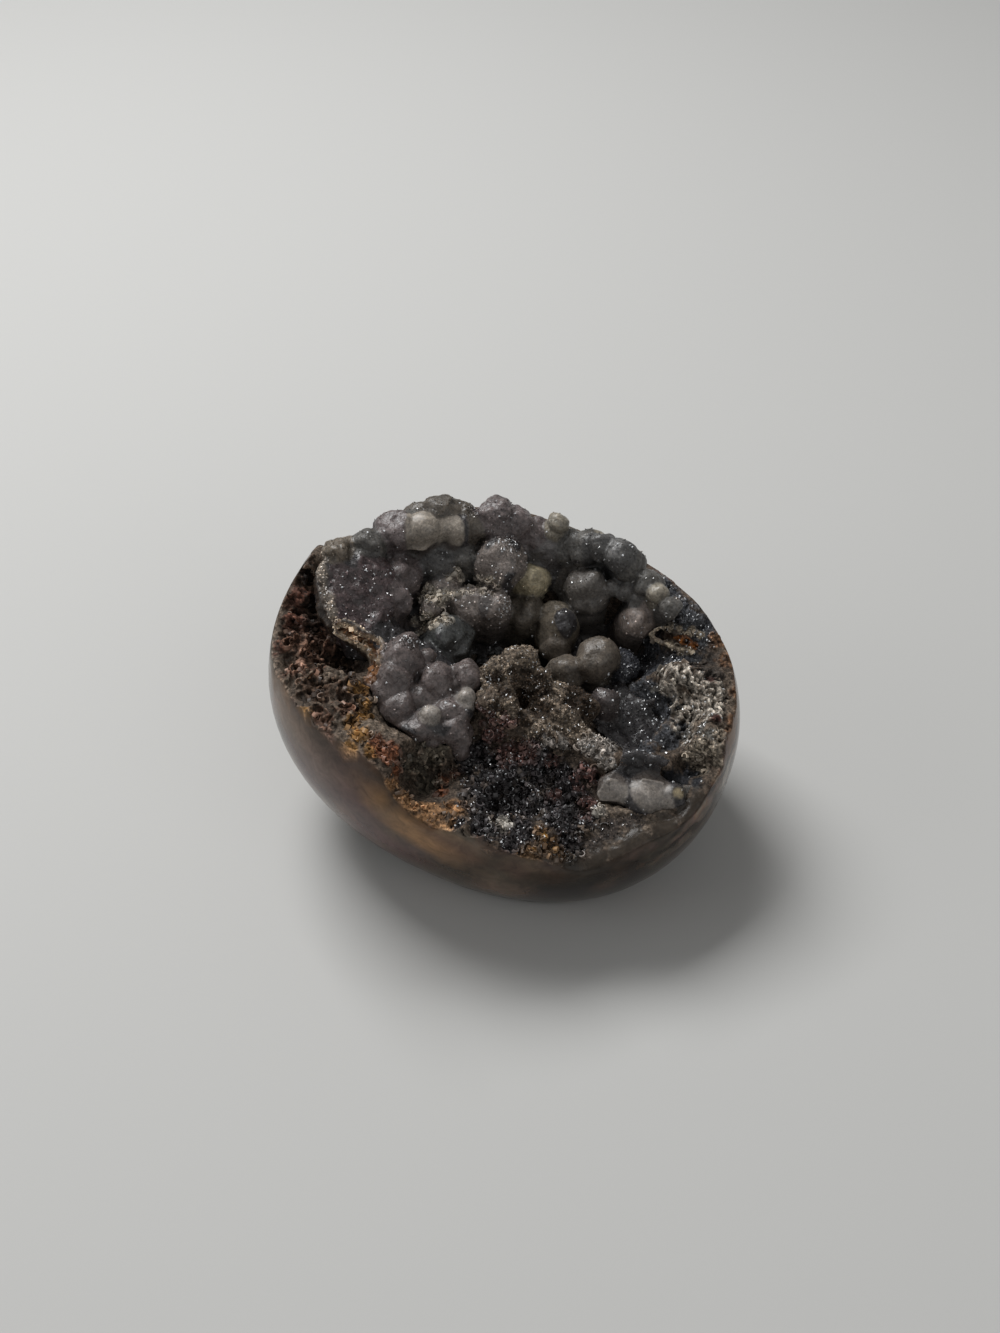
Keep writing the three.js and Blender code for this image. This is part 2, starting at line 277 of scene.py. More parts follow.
def polishSkin(mesh):
    # presses the skin onto the true ball and the flat under it, and returns 1 where it is polished
    places = placesOf(mesh)
    facing = facingOf(mesh)
    size = ballSize(places)
    power = ball["squareness"] - 1
    out = np.sign(places) * (np.abs(places) / ballHalves) ** power / ballHalves
    out /= np.linalg.norm(out, axis=1)[:, None]
    skin = (size > ball["skinDepth"]) & ((facing * out).sum(1) > ball["skinFacing"])
    under = places @ downInFace
    flat = (under > ball["middleUp"] - ball["flatNear"]) & (facing @ downInFace > ball["flatFacing"])
    places[skin] /= size[skin, None]
    under = places @ downInFace
    over = np.where(flat | (under > ball["middleUp"]), under - ball["middleUp"], 0)
    places -= over[:, None] * downInFace
    setPlaces(mesh, places)
    return (skin | flat).astype(float)


# The stone's rough face: which finish lies where. A spot is u, v, w and its reach.
openFace = {
    "ground": "#453c34",
    "finishes": {
        "matrix": ("#5b5147", [(-20, -12, 6, 4), (-12, -16, 9, 4), (20, -12, 9, 5), (25, 5, 11, 5)]),
        "cavity": ("#3a2d24", [
            (-28.5, -1, 5, 3.2), (-26, -3.5, 3, 3), (-20.4, -6, 0, 3), (-20.2, -13.5, 7.5, 2.6),
            (-17.3, -12.7, 9, 2), (-22, -9, 3, 4),
        ]),
        "redBrown": ("#4a3229", [
            (-28.1, -2.6, 4.8, 1.8), (-28.6, -4.4, 5, 1.6), (-27, -5, 4, 1.5), (-27.4, -8.6, 4.6, 1.5),
        ]),
        # the hole colour is painted shade where the cavity's holes are
        "holeShade": ("#281f1a", [
            (-28.9, 0.4, 6.4, 1.3), (-26.4, -2.6, 4.4, 1.6), (-25.2, -4.2, 3.6, 1.3), (-23.4, -5.6, 3, 1.2),
            (-21.6, -8.6, 3, 0.9), (-19.6, -7, 3.4, 1.6), (-18.4, -8.4, 4.6, 1.6),
        ]),
        "rust": ("#543f34", [
            (-24.8, -7.5, 2.7, 2.2), (-23.2, -5.2, 3, 1.4), (-23.7, -11.4, 3.9, 1.6),
            (-16.2, -15.3, 9.5, 1.3), (-16.9, -19.2, 9.5, 1.3), (-26.5, -7.5, 4, 1.6), (-25, -12, 6, 1.4),
            (-21.5, -10.5, 5, 1.2), (-28.5, -4, 6.5, 1.2), (-18.3, -17.5, 9, 1.4),
        ]),
        "pinkRidge": ("#86695a", [(-24.5, -10, 4.4, 0.9), (-25.8, -9, 4.4, 0.8), (-22.6, -12.6, 5, 0.8)]),
        "gold": ("#6b4f2c", [
            (-16.2, -12.3, 9.2, 1), (-15.2, -11.2, 8.8, 0.8), (-14.6, -12.6, 8.8, 0.8),
            (-14.1, -15, 9.7, 0.9), (-13.1, -18, 11.3, 1.2), (-11, -19.2, 11.7, 1),
            (-13.5, -19.7, 11.4, 0.9), (-14, -13.6, 9.4, 0.9), (-14.4, -16.6, 10.2, 1),
            (-20.2, -17.6, 8.4, 1),
        ]),
        "orange": ("#5c3a28", [
            (-9.2, -18.5, 11.5, 1.4), (-10.8, -17.9, 11.4, 1), (-2.4, -16.5, 5.5, 0.8),
            (-1.2, -14.9, 5, 0.9), (-1.4, -18.2, 6.4, 0.8), (-7.4, -20, 10, 1),
        ]),
        "fuzzy": ("#7d5f43", [
            (-1.8, -21.8, 8.2, 1.8), (-5, -22.1, 9, 1.5), (0.8, -20.2, 8.2, 1.4), (0.5, -23.3, 8, 1.6),
            (-7.6, -21.4, 9.6, 1.1), (1.6, -22, 8.2, 1.2),
        ]),
        "recess": ("#4c463d", [
            (-4.8, -15.2, 7, 2), (-4.4, -13.6, 7.5, 1.6), (-3.8, -17.7, 4.8, 1.7), (-6.6, -17.6, 8, 1.5),
        ]),
        "sand": ("#5c5247", [
            (0.5, 1.2, 9.8, 3), (-1.4, -3, 10.2, 2.8), (1, -7.3, 10.8, 2.6), (4.8, -2, 9.6, 2.8),
            (5.7, -6.3, 10.4, 2.4), (9.4, -4.2, 10, 2.4), (8, 0.8, 6, 2.2),
        ]),
        "darkSand": ("#2e251d", [
            (2.4, -3.1, 8, 1.8), (-0.2, -7, 10.8, 1.1), (-1.4, -3.6, 10.8, 1.2), (0.4, -2.4, 11, 1.2),
            (1.8, -1.2, 10.6, 1.1), (3.3, -1, 10.2, 1), (4.2, -2.2, 9.6, 1.3), (0.2, -5, 11, 0.9),
            (5.2, -4, 9.4, 1.4), (3.6, -6.8, 10, 1.2), (7, -7.6, 9.6, 1.2), (-1, -8.6, 9.6, 1.2),
            (4.6, -9.4, 8, 1.4), (7.4, -2.2, 9, 1.3), (8.6, -0.4, 9.6, 1.8), (10.6, -1.4, 9.4, 1.4),
            (2.4, -1.6, 9, 1),
        ]),
        "paleDruse": ("#7d7771", [
            (13.6, -5, 9.6, 1.7), (12, -6.4, 10.4, 1.2), (9, -6.8, 9.6, 0.9), (15, -6.8, 9.4, 1),
            (7.4, -8, 9.4, 1), (9.2, -9.4, 8, 0.8),
        ]),
        "druse": ("#2b2829", [
            (0.3, -12, 4.4, 3), (3.9, -13, 6.4, 3), (7.8, -10, 7, 3), (12, -10.6, 7, 3), (3.4, -17, 6, 3),
            (7.6, -15, 5, 3.4), (11.9, -13.6, 5.6, 3), (4.7, -20.6, 8.6, 2.2), (13, -16, 7, 2.4),
            (8.6, -19, 8, 2), (14.6, -17.6, 7.6, 2.2), (8, -21.6, 8, 1.6), (15.4, -13.4, 7, 1.8),
            (2.6, -22, 8.6, 1.3),
        ]),
        "redDruse": ("#47332f", [
            (13.4, -9.4, 8.4, 1.6), (11, -12.6, 7, 1.2), (9, -8.8, 8, 1), (3.6, -10.4, 7, 1.4),
            (15, -12, 7.4, 1.4), (1.2, -9.6, 8, 1.6), (5.6, -9.6, 8, 1.4), (0.2, -8.6, 9.6, 1.4),
            (1.8, -8.2, 10, 1.2), (-1.6, -8.2, 9.8, 1.1),
        ]),
        "lace": ("#8f8a82", [(6.9, -19.1, 7.8, 0.9), (5.8, -19, 7.6, 0.6), (16.7, -12.4, 7.8, 0.8)]),
        "ochre": ("#4a3826", [
            (12.8, -19, 8.1, 1.6), (11, -21.5, 8.9, 1.4), (14.6, -19.4, 8, 1.1), (10.9, -18, 9, 0.9),
        ]),
        "goldDots": ("#7a5a2e", [
            (11.6, -18.6, 9, 0.4), (12.6, -20.2, 9, 0.45), (13.4, -19.4, 8.6, 0.35), (11.2, -20.4, 9, 0.3),
            (12.9, -21.4, 9, 0.4),
        ]),
        "mottled": ("#332d29", [(18.6, -14.1, 8.3, 1.8), (20.8, -12.4, 9.4, 1.6), (17.4, -16.4, 8, 1.5)]),
        "blackDruse": ("#3b3c3f", [
            (16, 15.9, 10, 3), (19.2, 15.7, 9.1, 2.4), (12, 19.4, 8, 3), (18, 12, 5.5, 1.4),
        ]),
        "crumble": ("#8c857c", [
            (16.8, 9.2, 8.7, 1.4), (18.8, 7.8, 11, 1.9), (21.5, 7.2, 11.4, 2), (24, 7.2, 12.3, 1.4),
            (19.7, 4.9, 8, 1.7), (22.1, 5.1, 8.2, 2.1), (23.6, 5.2, 11.5, 1.7), (24.5, 4, 11.9, 1.3),
            (25.1, 7.7, 12.8, 0.9), (21.9, 3, 7.6, 1.5), (18.2, 6.4, 8, 1.4), (22.9, 0.9, 9, 1.1),
        ]),
        "greyGrains": ("#55534f", [
            (16.9, 6.2, 6.2, 1.3), (25, 1.5, 12, 0.9), (24.2, 2.2, 10.8, 0.9), (22.4, 2, 8, 1),
        ]),
        "paleBeige": ("#7c7367", [
            (24.3, -0.8, 10, 1.3), (26.3, -1.9, 9, 1.1), (25.3, -1, 9.3, 1.2), (24.9, -2.2, 7.4, 1),
            (24.6, 0, 11.2, 1.2), (26.2, 0.2, 11.4, 1.2), (26.2, 1.8, 12, 1), (27.2, -0.8, 10.8, 0.9),
        ]),
        "redPatch": ("#33221e", [(24.8, 3.3, 12.4, 0.8), (20, 6, 9.4, 0.6), (22.4, 8.6, 11.6, 0.7)]),
        "blueDruse": ("#3a3b3e", [
            (16, 4.6, 4.4, 3.4), (19.3, 5, 5.6, 2), (20.6, 2, 5, 2.2), (18, -2, 4.6, 3),
            (16.2, 10.4, 3.6, 2.6), (21.2, 1.4, 6, 1.7), (21.6, 3.2, 6.2, 1.3), (14.8, 13.6, 2.4, 2.4),
            (16.6, 8, 5, 1.8), (15.6, 12, 1, 3), (18.2, 11, 6.4, 1.6), (19.6, 12.4, 7.4, 1.3),
        ]),
        "darkEdge": ("#322d29", [
            (21.8, 10.6, 11.6, 1.6), (20.6, 11.6, 9.6, 1.4), (23.2, 9.8, 12, 1), (21.6, 12.4, 9.4, 1.2),
            (20, 10.2, 10.6, 1),
        ]),
        "crackRim": ("#7d7365", [
            (14.4, 14.8, 6.8, 0.6), (15.6, 15.1, 7.5, 0.6), (16.9, 15.3, 8, 0.6), (18.3, 15.3, 8.5, 0.6),
            (19.4, 15.4, 8.9, 0.6), (14, 13.8, 5.8, 0.7), (15.2, 13.5, 5.9, 0.7), (16.6, 13.2, 6.5, 0.7),
            (18, 13.1, 7, 0.7), (19.2, 13.2, 7.4, 0.6),
        ]),
        "crack": ("#6f4320", [
            (17.1, 14.3, 7.1, 0.5), (17.9, 14.3, 7.3, 0.6), (18.7, 14.3, 7.5, 0.6), (19.4, 14.2, 7.7, 0.5),
        ]),
        # the slot colour is painted shade inside the crack
        "slotShade": ("#23180f", [(14.8, 14.4, 6.2, 0.5), (15.6, 14.4, 6.4, 0.5), (16.4, 14.4, 6.8, 0.5)]),
        # the pocket colour is painted shade in a pocket
        "pocketShade": ("#1c1d20", [
            (25, -2.9, 8.3, 1.1), (25.8, -4, 10.1, 0.9), (24, -4.4, 9, 1.3), (22.6, -4.6, 9, 1.1),
        ]),
        "brownEdge": ("#4f3b2c", [
            (28, 0.6, 11.2, 0.7), (27.4, 2.6, 12, 0.9), (26.6, 4.6, 12.2, 0.9), (23.8, 12.9, 10.3, 1.4),
            (21.9, 15.3, 9.7, 1.4), (26, 8.4, 11.2, 1),
        ]),
        "slickLeft": ("#4d4135", [
            (-13.2, -21.2, 8.6, 1.8), (-10, -21.5, 9.5, 1.6), (-15.6, -20.4, 8.6, 1.2),
        ]),
        "slickRight": ("#3b352f", [
            (21.9, -14.6, 9.8, 2), (21.1, -17, 8.3, 2), (24.5, -11.4, 10, 2.2), (26.4, -8, 10.4, 2),
            (18.8, -18.2, 7.8, 1.7), (16.4, -20, 7.2, 1.7), (24.4, -14, 8, 2), (13.4, -21.8, 7, 1.3),
        ]),
    },
    "edge": 0.3,              # how softly one finish goes over into the next
    "ragged": 0.45,           # how far a border strays, as a share of a spot's reach
    "raggedSize": 1.1,
    "streaked": {"brownEdge": 1, "paleBeige": 0.5, "crumble": 0.55, "darkEdge": 0.4},
    "streakWidth": 0.12, "streakDepth": 0.7,      # thin layers along the ball's rim
    "streakBend": 1.6, "streakBendSize": 1.8,
}

# The polished skin: clouds of colour, and patches laid over them in the same way.
skin = {
    "clouds": [(-1, "#3b342c"), (-0.4, "#4c3f37"), (0, "#54443f"), (0.4, "#634b3b"), (1, "#6f6558")],
    "cloudSize": 8, "cloudSpread": 1.6,
    "patches": {
        # the grey strip is partly the skin's own grey and partly a painted reflection along the ball's left
        # edge
        "greyStripAndReflection": ("#6d6a63", [(-27.9, -9.4, 3.3, 4), (-28, -6, -1, 4), (-29, -2, 2, 3)]),
        "tanStrip": ("#6e5d50", [(-24, -15.6, 4.7, 3), (-20, -18.9, 5, 2.6), (-25.6, -13, 7, 1.6)]),
        "mauve": ("#543d39", [
            (-11.8, -22.9, 2.2, 4), (-8.9, -23.3, -4.4, 5), (-17, -20.6, -1, 4), (-3.2, -24.2, -2, 3),
        ]),
        "greyMauve": ("#6b5950", [(-17.7, -20.5, 3.1, 2.6), (-14.6, -21.8, 4.6, 1.6)]),
        "warm": ("#80603f", [(-9.1, -22.5, 8.3, 1.8), (-4.4, -23.8, 5.2, 2.4), (-7.6, -23, 6.4, 1.8)]),
        "glow": ("#997652", [(-2.6, -23.7, 7, 1.4), (0.1, -24.1, 5.6, 1.4)]),
        "warmLow": ("#94704c", [(0.1, -24.1, 4.4, 1.8), (2.5, -24.1, 3.9, 1.8)]),
        "bottom": ("#43392f", [
            (5.6, -24.1, 1.4, 3), (12.9, -22.6, 2.2, 3.4), (8.2, -23, 6.4, 2), (4, -24, -4, 4),
        ]),
        "brown": ("#49372a", [(15.6, -21.2, 5.1, 2), (21.4, -17.2, 7.3, 1.6)]),
        "dark": ("#241f1b", [
            (20.2, -18.9, 4.2, 3), (23.4, -15.4, 7.1, 1.6), (17.6, -20.6, 1, 4), (24, -15, 2, 4),
        ]),
        "greyGreen": ("#3b352e", [(25.2, -13.3, 7.5, 2), (26, -12, 4, 3)]),
        "paleEdge": ("#4b423a", [(28.1, -9.1, 5.8, 2), (28.7, -6.3, 6.9, 2), (29.4, -3, 6, 2.4)]),
        "palestEdge": ("#7d766e", [(29.1, -0.1, 8.2, 1.8)]),
        "brownBands": ("#5b4636", [
            (27.7, 3.3, 10.7, 1.8), (26, 7.4, 11.2, 1.8), (23.8, 12.9, 10.3, 2), (21.9, 15.3, 9.7, 2),
            (28.4, 6, 7, 3),
        ]),
    },
    "edge": 0.7, "ragged": 0.5, "raggedSize": 3,
    "bandsFrom": 24, "bandsFull": 27, "bandsAbove": (3, 7),      # brown bands at the far end, by u and w
    "bandWidth": 0.42, "bandBend": 1.4, "bandBendSize": 4, "bandDepth": 0.75, "bandLimits": (-0.8, 0.6),
}


def finishWeights(places):
    ragged = cloud(places, openFace["raggedSize"], seed=5) * openFace["ragged"]
    weights = {}
    for name, (_, spots) in openFace["finishes"].items():
        weights[name] = spotWeight(places, spots, openFace["edge"], ragged)
    return weights


def mixOf(weights, shares):
    total = np.zeros(len(next(iter(weights.values()))))
    for name, share in shares.items():
        total = np.maximum(total, weights[name] * share)
    return total


def faceColours(weights, places):
    colours = np.tile(paint(openFace["ground"]), (len(places), 1))
    for name, (colour, _) in openFace["finishes"].items():
        colours = painted(colours, weights[name], colour)
    bend = cloud(places, openFace["streakBendSize"], seed=8, octaves=2) * openFace["streakBend"]
    layers = np.sin(ballSize(places) * ball["halfWidth"] / openFace["streakWidth"] + bend)
    return colours * (1 + openFace["streakDepth"] * layers * mixOf(weights, openFace["streaked"]))[:, None]


def skinColours(places):
    shade = cloud(places, skin["cloudSize"], seed=2, octaves=4) * skin["cloudSpread"]
    stops = np.array([at for at, _ in skin["clouds"]])
    paints = np.array([paint(colour) for _, colour in skin["clouds"]])
    colours = np.stack([np.interp(shade, stops, paints[:, axis]) for axis in range(3)], 1)
    ragged = cloud(places, skin["raggedSize"], seed=9) * skin["ragged"]
    for colour, spots in skin["patches"].values():
        colours = painted(colours, spotWeight(places, spots, skin["edge"], ragged), colour)
    bend = cloud(places, skin["bandBendSize"], seed=7, octaves=2) * skin["bandBend"]
    bands = np.sin((places[:, 2] + bend) / skin["bandWidth"])
    bands = bands * ramp(places[:, 0], skin["bandsFrom"], skin["bandsFull"])
    bands *= ramp(places[:, 2], *skin["bandsAbove"])
    return colours * (1 + skin["bandDepth"] * np.clip(bands, *skin["bandLimits"]))[:, None]


def fill(socket, value):
    # links another node's output to the socket, or sets its value, which may be a "#rrggbb" colour
    if isinstance(value, bpy.types.NodeSocket):
        socket.id_data.links.new(value, socket)
    elif isinstance(value, str) and value.startswith("#"):
        socket.default_value = (*paint(value), 1)
    else:
        socket.default_value = value


def addNode(nodes, kind, values=(), **settings):
    node = nodes.new(kind)
    for key, value in settings.items():
        setattr(node, key, value)
    for socket, value in dict(values).items():
        fill(node.inputs[socket], value)
    return node


# Scattering: small shapes stood on a surface by Geometry Nodes, by a density mask, then realized.
def scatterTree(name, template, mask, perArea, sizes, lean, seed, keepHost):
    tree = bpy.data.node_groups.new(name, "GeometryNodeTree")
    for way in ("INPUT", "OUTPUT"):
        tree.interface.new_socket("Geometry", in_out=way, socket_type="NodeSocketGeometry")
    nodes = tree.nodes
    host = addNode(nodes, "NodeGroupInput").outputs[0]
    share = addNode(nodes, "GeometryNodeInputNamedAttribute", {"Name": mask}, data_type="FLOAT").outputs[0]
    often = addNode(nodes, "ShaderNodeMath", {0: share, 1: perArea}, operation="MULTIPLY")
    points = addNode(nodes, "GeometryNodeDistributePointsOnFaces", {
        "Mesh": host, "Density": often.outputs[0], "Seed": seed,
    }, distribute_method="RANDOM").outputs
    turn = addNode(nodes, "FunctionNodeRandomValue", {
        0: (-lean, -lean, 0), 1: (lean, lean, math.tau), "Seed": seed + 1,
    }, data_type="FLOAT_VECTOR")
    spin = addNode(nodes, "FunctionNodeEulerToRotation", {0: turn.outputs[0]})
    rotate = addNode(nodes, "FunctionNodeRotateRotation", {
        "Rotation": points["Rotation"], "Rotate By": spin.outputs[0],
    }, rotation_space="LOCAL")
    size = addNode(nodes, "FunctionNodeRandomValue", {
        0: sizes[0], 1: sizes[1], "Seed": seed + 2,
    }, data_type="FLOAT_VECTOR")
    shape = addNode(nodes, "GeometryNodeObjectInfo", {"Object": template})
    stand = addNode(nodes, "GeometryNodeInstanceOnPoints", {
        "Points": points["Points"], "Instance": shape.outputs["Geometry"],
        "Rotation": rotate.outputs[0], "Scale": size.outputs[0],
    })
    chance = addNode(nodes, "FunctionNodeRandomValue", {"Seed": seed + 3}, data_type="FLOAT")
    keep = addNode(nodes, "GeometryNodeStoreNamedAttribute", {
        "Geometry": stand.outputs[0], "Name": "chance", "Value": chance.outputs[1],
    }, data_type="FLOAT", domain="INSTANCE")
    grown = addNode(nodes, "GeometryNodeRealizeInstances", {0: keep.outputs[0]}).outputs[0]
    if keepHost:
        join = addNode(nodes, "GeometryNodeJoinGeometry", {0: grown})
        fill(join.inputs[0], host)
        grown = join.outputs[0]
    addNode(nodes, "NodeGroupOutput", {0: grown})
    return tree


small = {                     # the shapes that are scattered: sizes as shares of their half width
    "chunkGrain": 1.7,
    "bladeThick": 0.14, "bladeBend": 0.35, "bladeTurn": 1.6, "bladeCuts": 5,
    "curlCorners": 14, "curlOpen": -0.5, "curlSunk": 0.3, "curlThick": 0.22,
    "tipSides": 5, "tipTall": 1.5, "tipLift": 0.45,
}


def chunkTemplate(seed, jitter):
    # a small angular lump of stone
    bm = bmesh.new()
    bmesh.ops.create_icosphere(bm, subdivisions=1, radius=1)
    for vert in bm.verts:
        vert.co *= 1 + jitter * noise.noise(vert.co * small["chunkGrain"] + Vector((seed, 0, 0)))
    return pieceOf("chunk", bm)


def bladeTemplate():
    # a thin, slightly bent wall, such as iron-stained chalcedony leaves between its pores
    bm = bmesh.new()
    bmesh.ops.create_cube(bm, size=2)
    long = [edge for edge in bm.edges if abs(edge.verts[0].co.x - edge.verts[1].co.x) > 1]
    bmesh.ops.subdivide_edges(bm, edges=long, cuts=small["bladeCuts"])
    for vert in bm.verts:
        bend = small["bladeBend"] * math.cos(vert.co.x * small["bladeTurn"])
        vert.co.y = vert.co.y * small["bladeThick"] + bend
    return pieceOf("blade", bm)


def curlTemplate():
    # a low wall bent into an open ring
    bm = bmesh.new()
    ring = bmesh.ops.create_circle(bm, segments=small["curlCorners"], radius=1)["verts"]
    bmesh.ops.delete(bm, geom=[vert for vert in ring if vert.co.y < small["curlOpen"]], context="VERTS")
    raised = bmesh.ops.extrude_edge_only(bm, edges=bm.edges[:])["geom"]
    raised = [part for part in raised if isinstance(part, bmesh.types.BMVert)]
    bmesh.ops.translate(bm, verts=raised, vec=up)
    bmesh.ops.translate(bm, verts=bm.verts, vec=(0, 0, -small["curlSunk"]))
    bmesh.ops.solidify(bm, geom=bm.faces[:], thickness=small["curlThick"])
    return pieceOf("curl", bm)


def crystalTemplate():
    # a small sharp tip of quartz
    bm = bmesh.new()
    sides, tall = small["tipSides"], small["tipTall"]
    bmesh.ops.create_cone(bm, cap_ends=True, segments=sides, radius1=1, radius2=0, depth=tall)
    bmesh.ops.translate(bm, verts=bm.verts, vec=(0, 0, small["tipLift"]))
    return pieceOf("crystal", bm)


def scatterOn(piece, template, mask, perArea, sizes, lean, seed):
    grow = piece.modifiers.new(mask, "NODES")
    grow.node_group = scatterTree(f"{piece.name} {mask}", template, mask, perArea, sizes, lean, seed, True)
    applyModifiers(piece)


def scatterPiece(name, hosts, template, mask, perArea, sizes, lean, seed):
    # a new piece that holds only what was scattered on the hosts
    bm = bmesh.new()
    for step, host in enumerate(hosts):
        part = newPiece(f"{name}{step}", host.data.copy())
        grow = part.modifiers.new(mask, "NODES")
        seedHere = seed + 10 * step
        grow.node_group = scatterTree(part.name, template, mask, perArea, sizes, lean, seedHere, False)
        applyModifiers(part)
        bm.from_mesh(part.data)
        bpy.data.objects.remove(part)
    return pieceOf(name, bm)


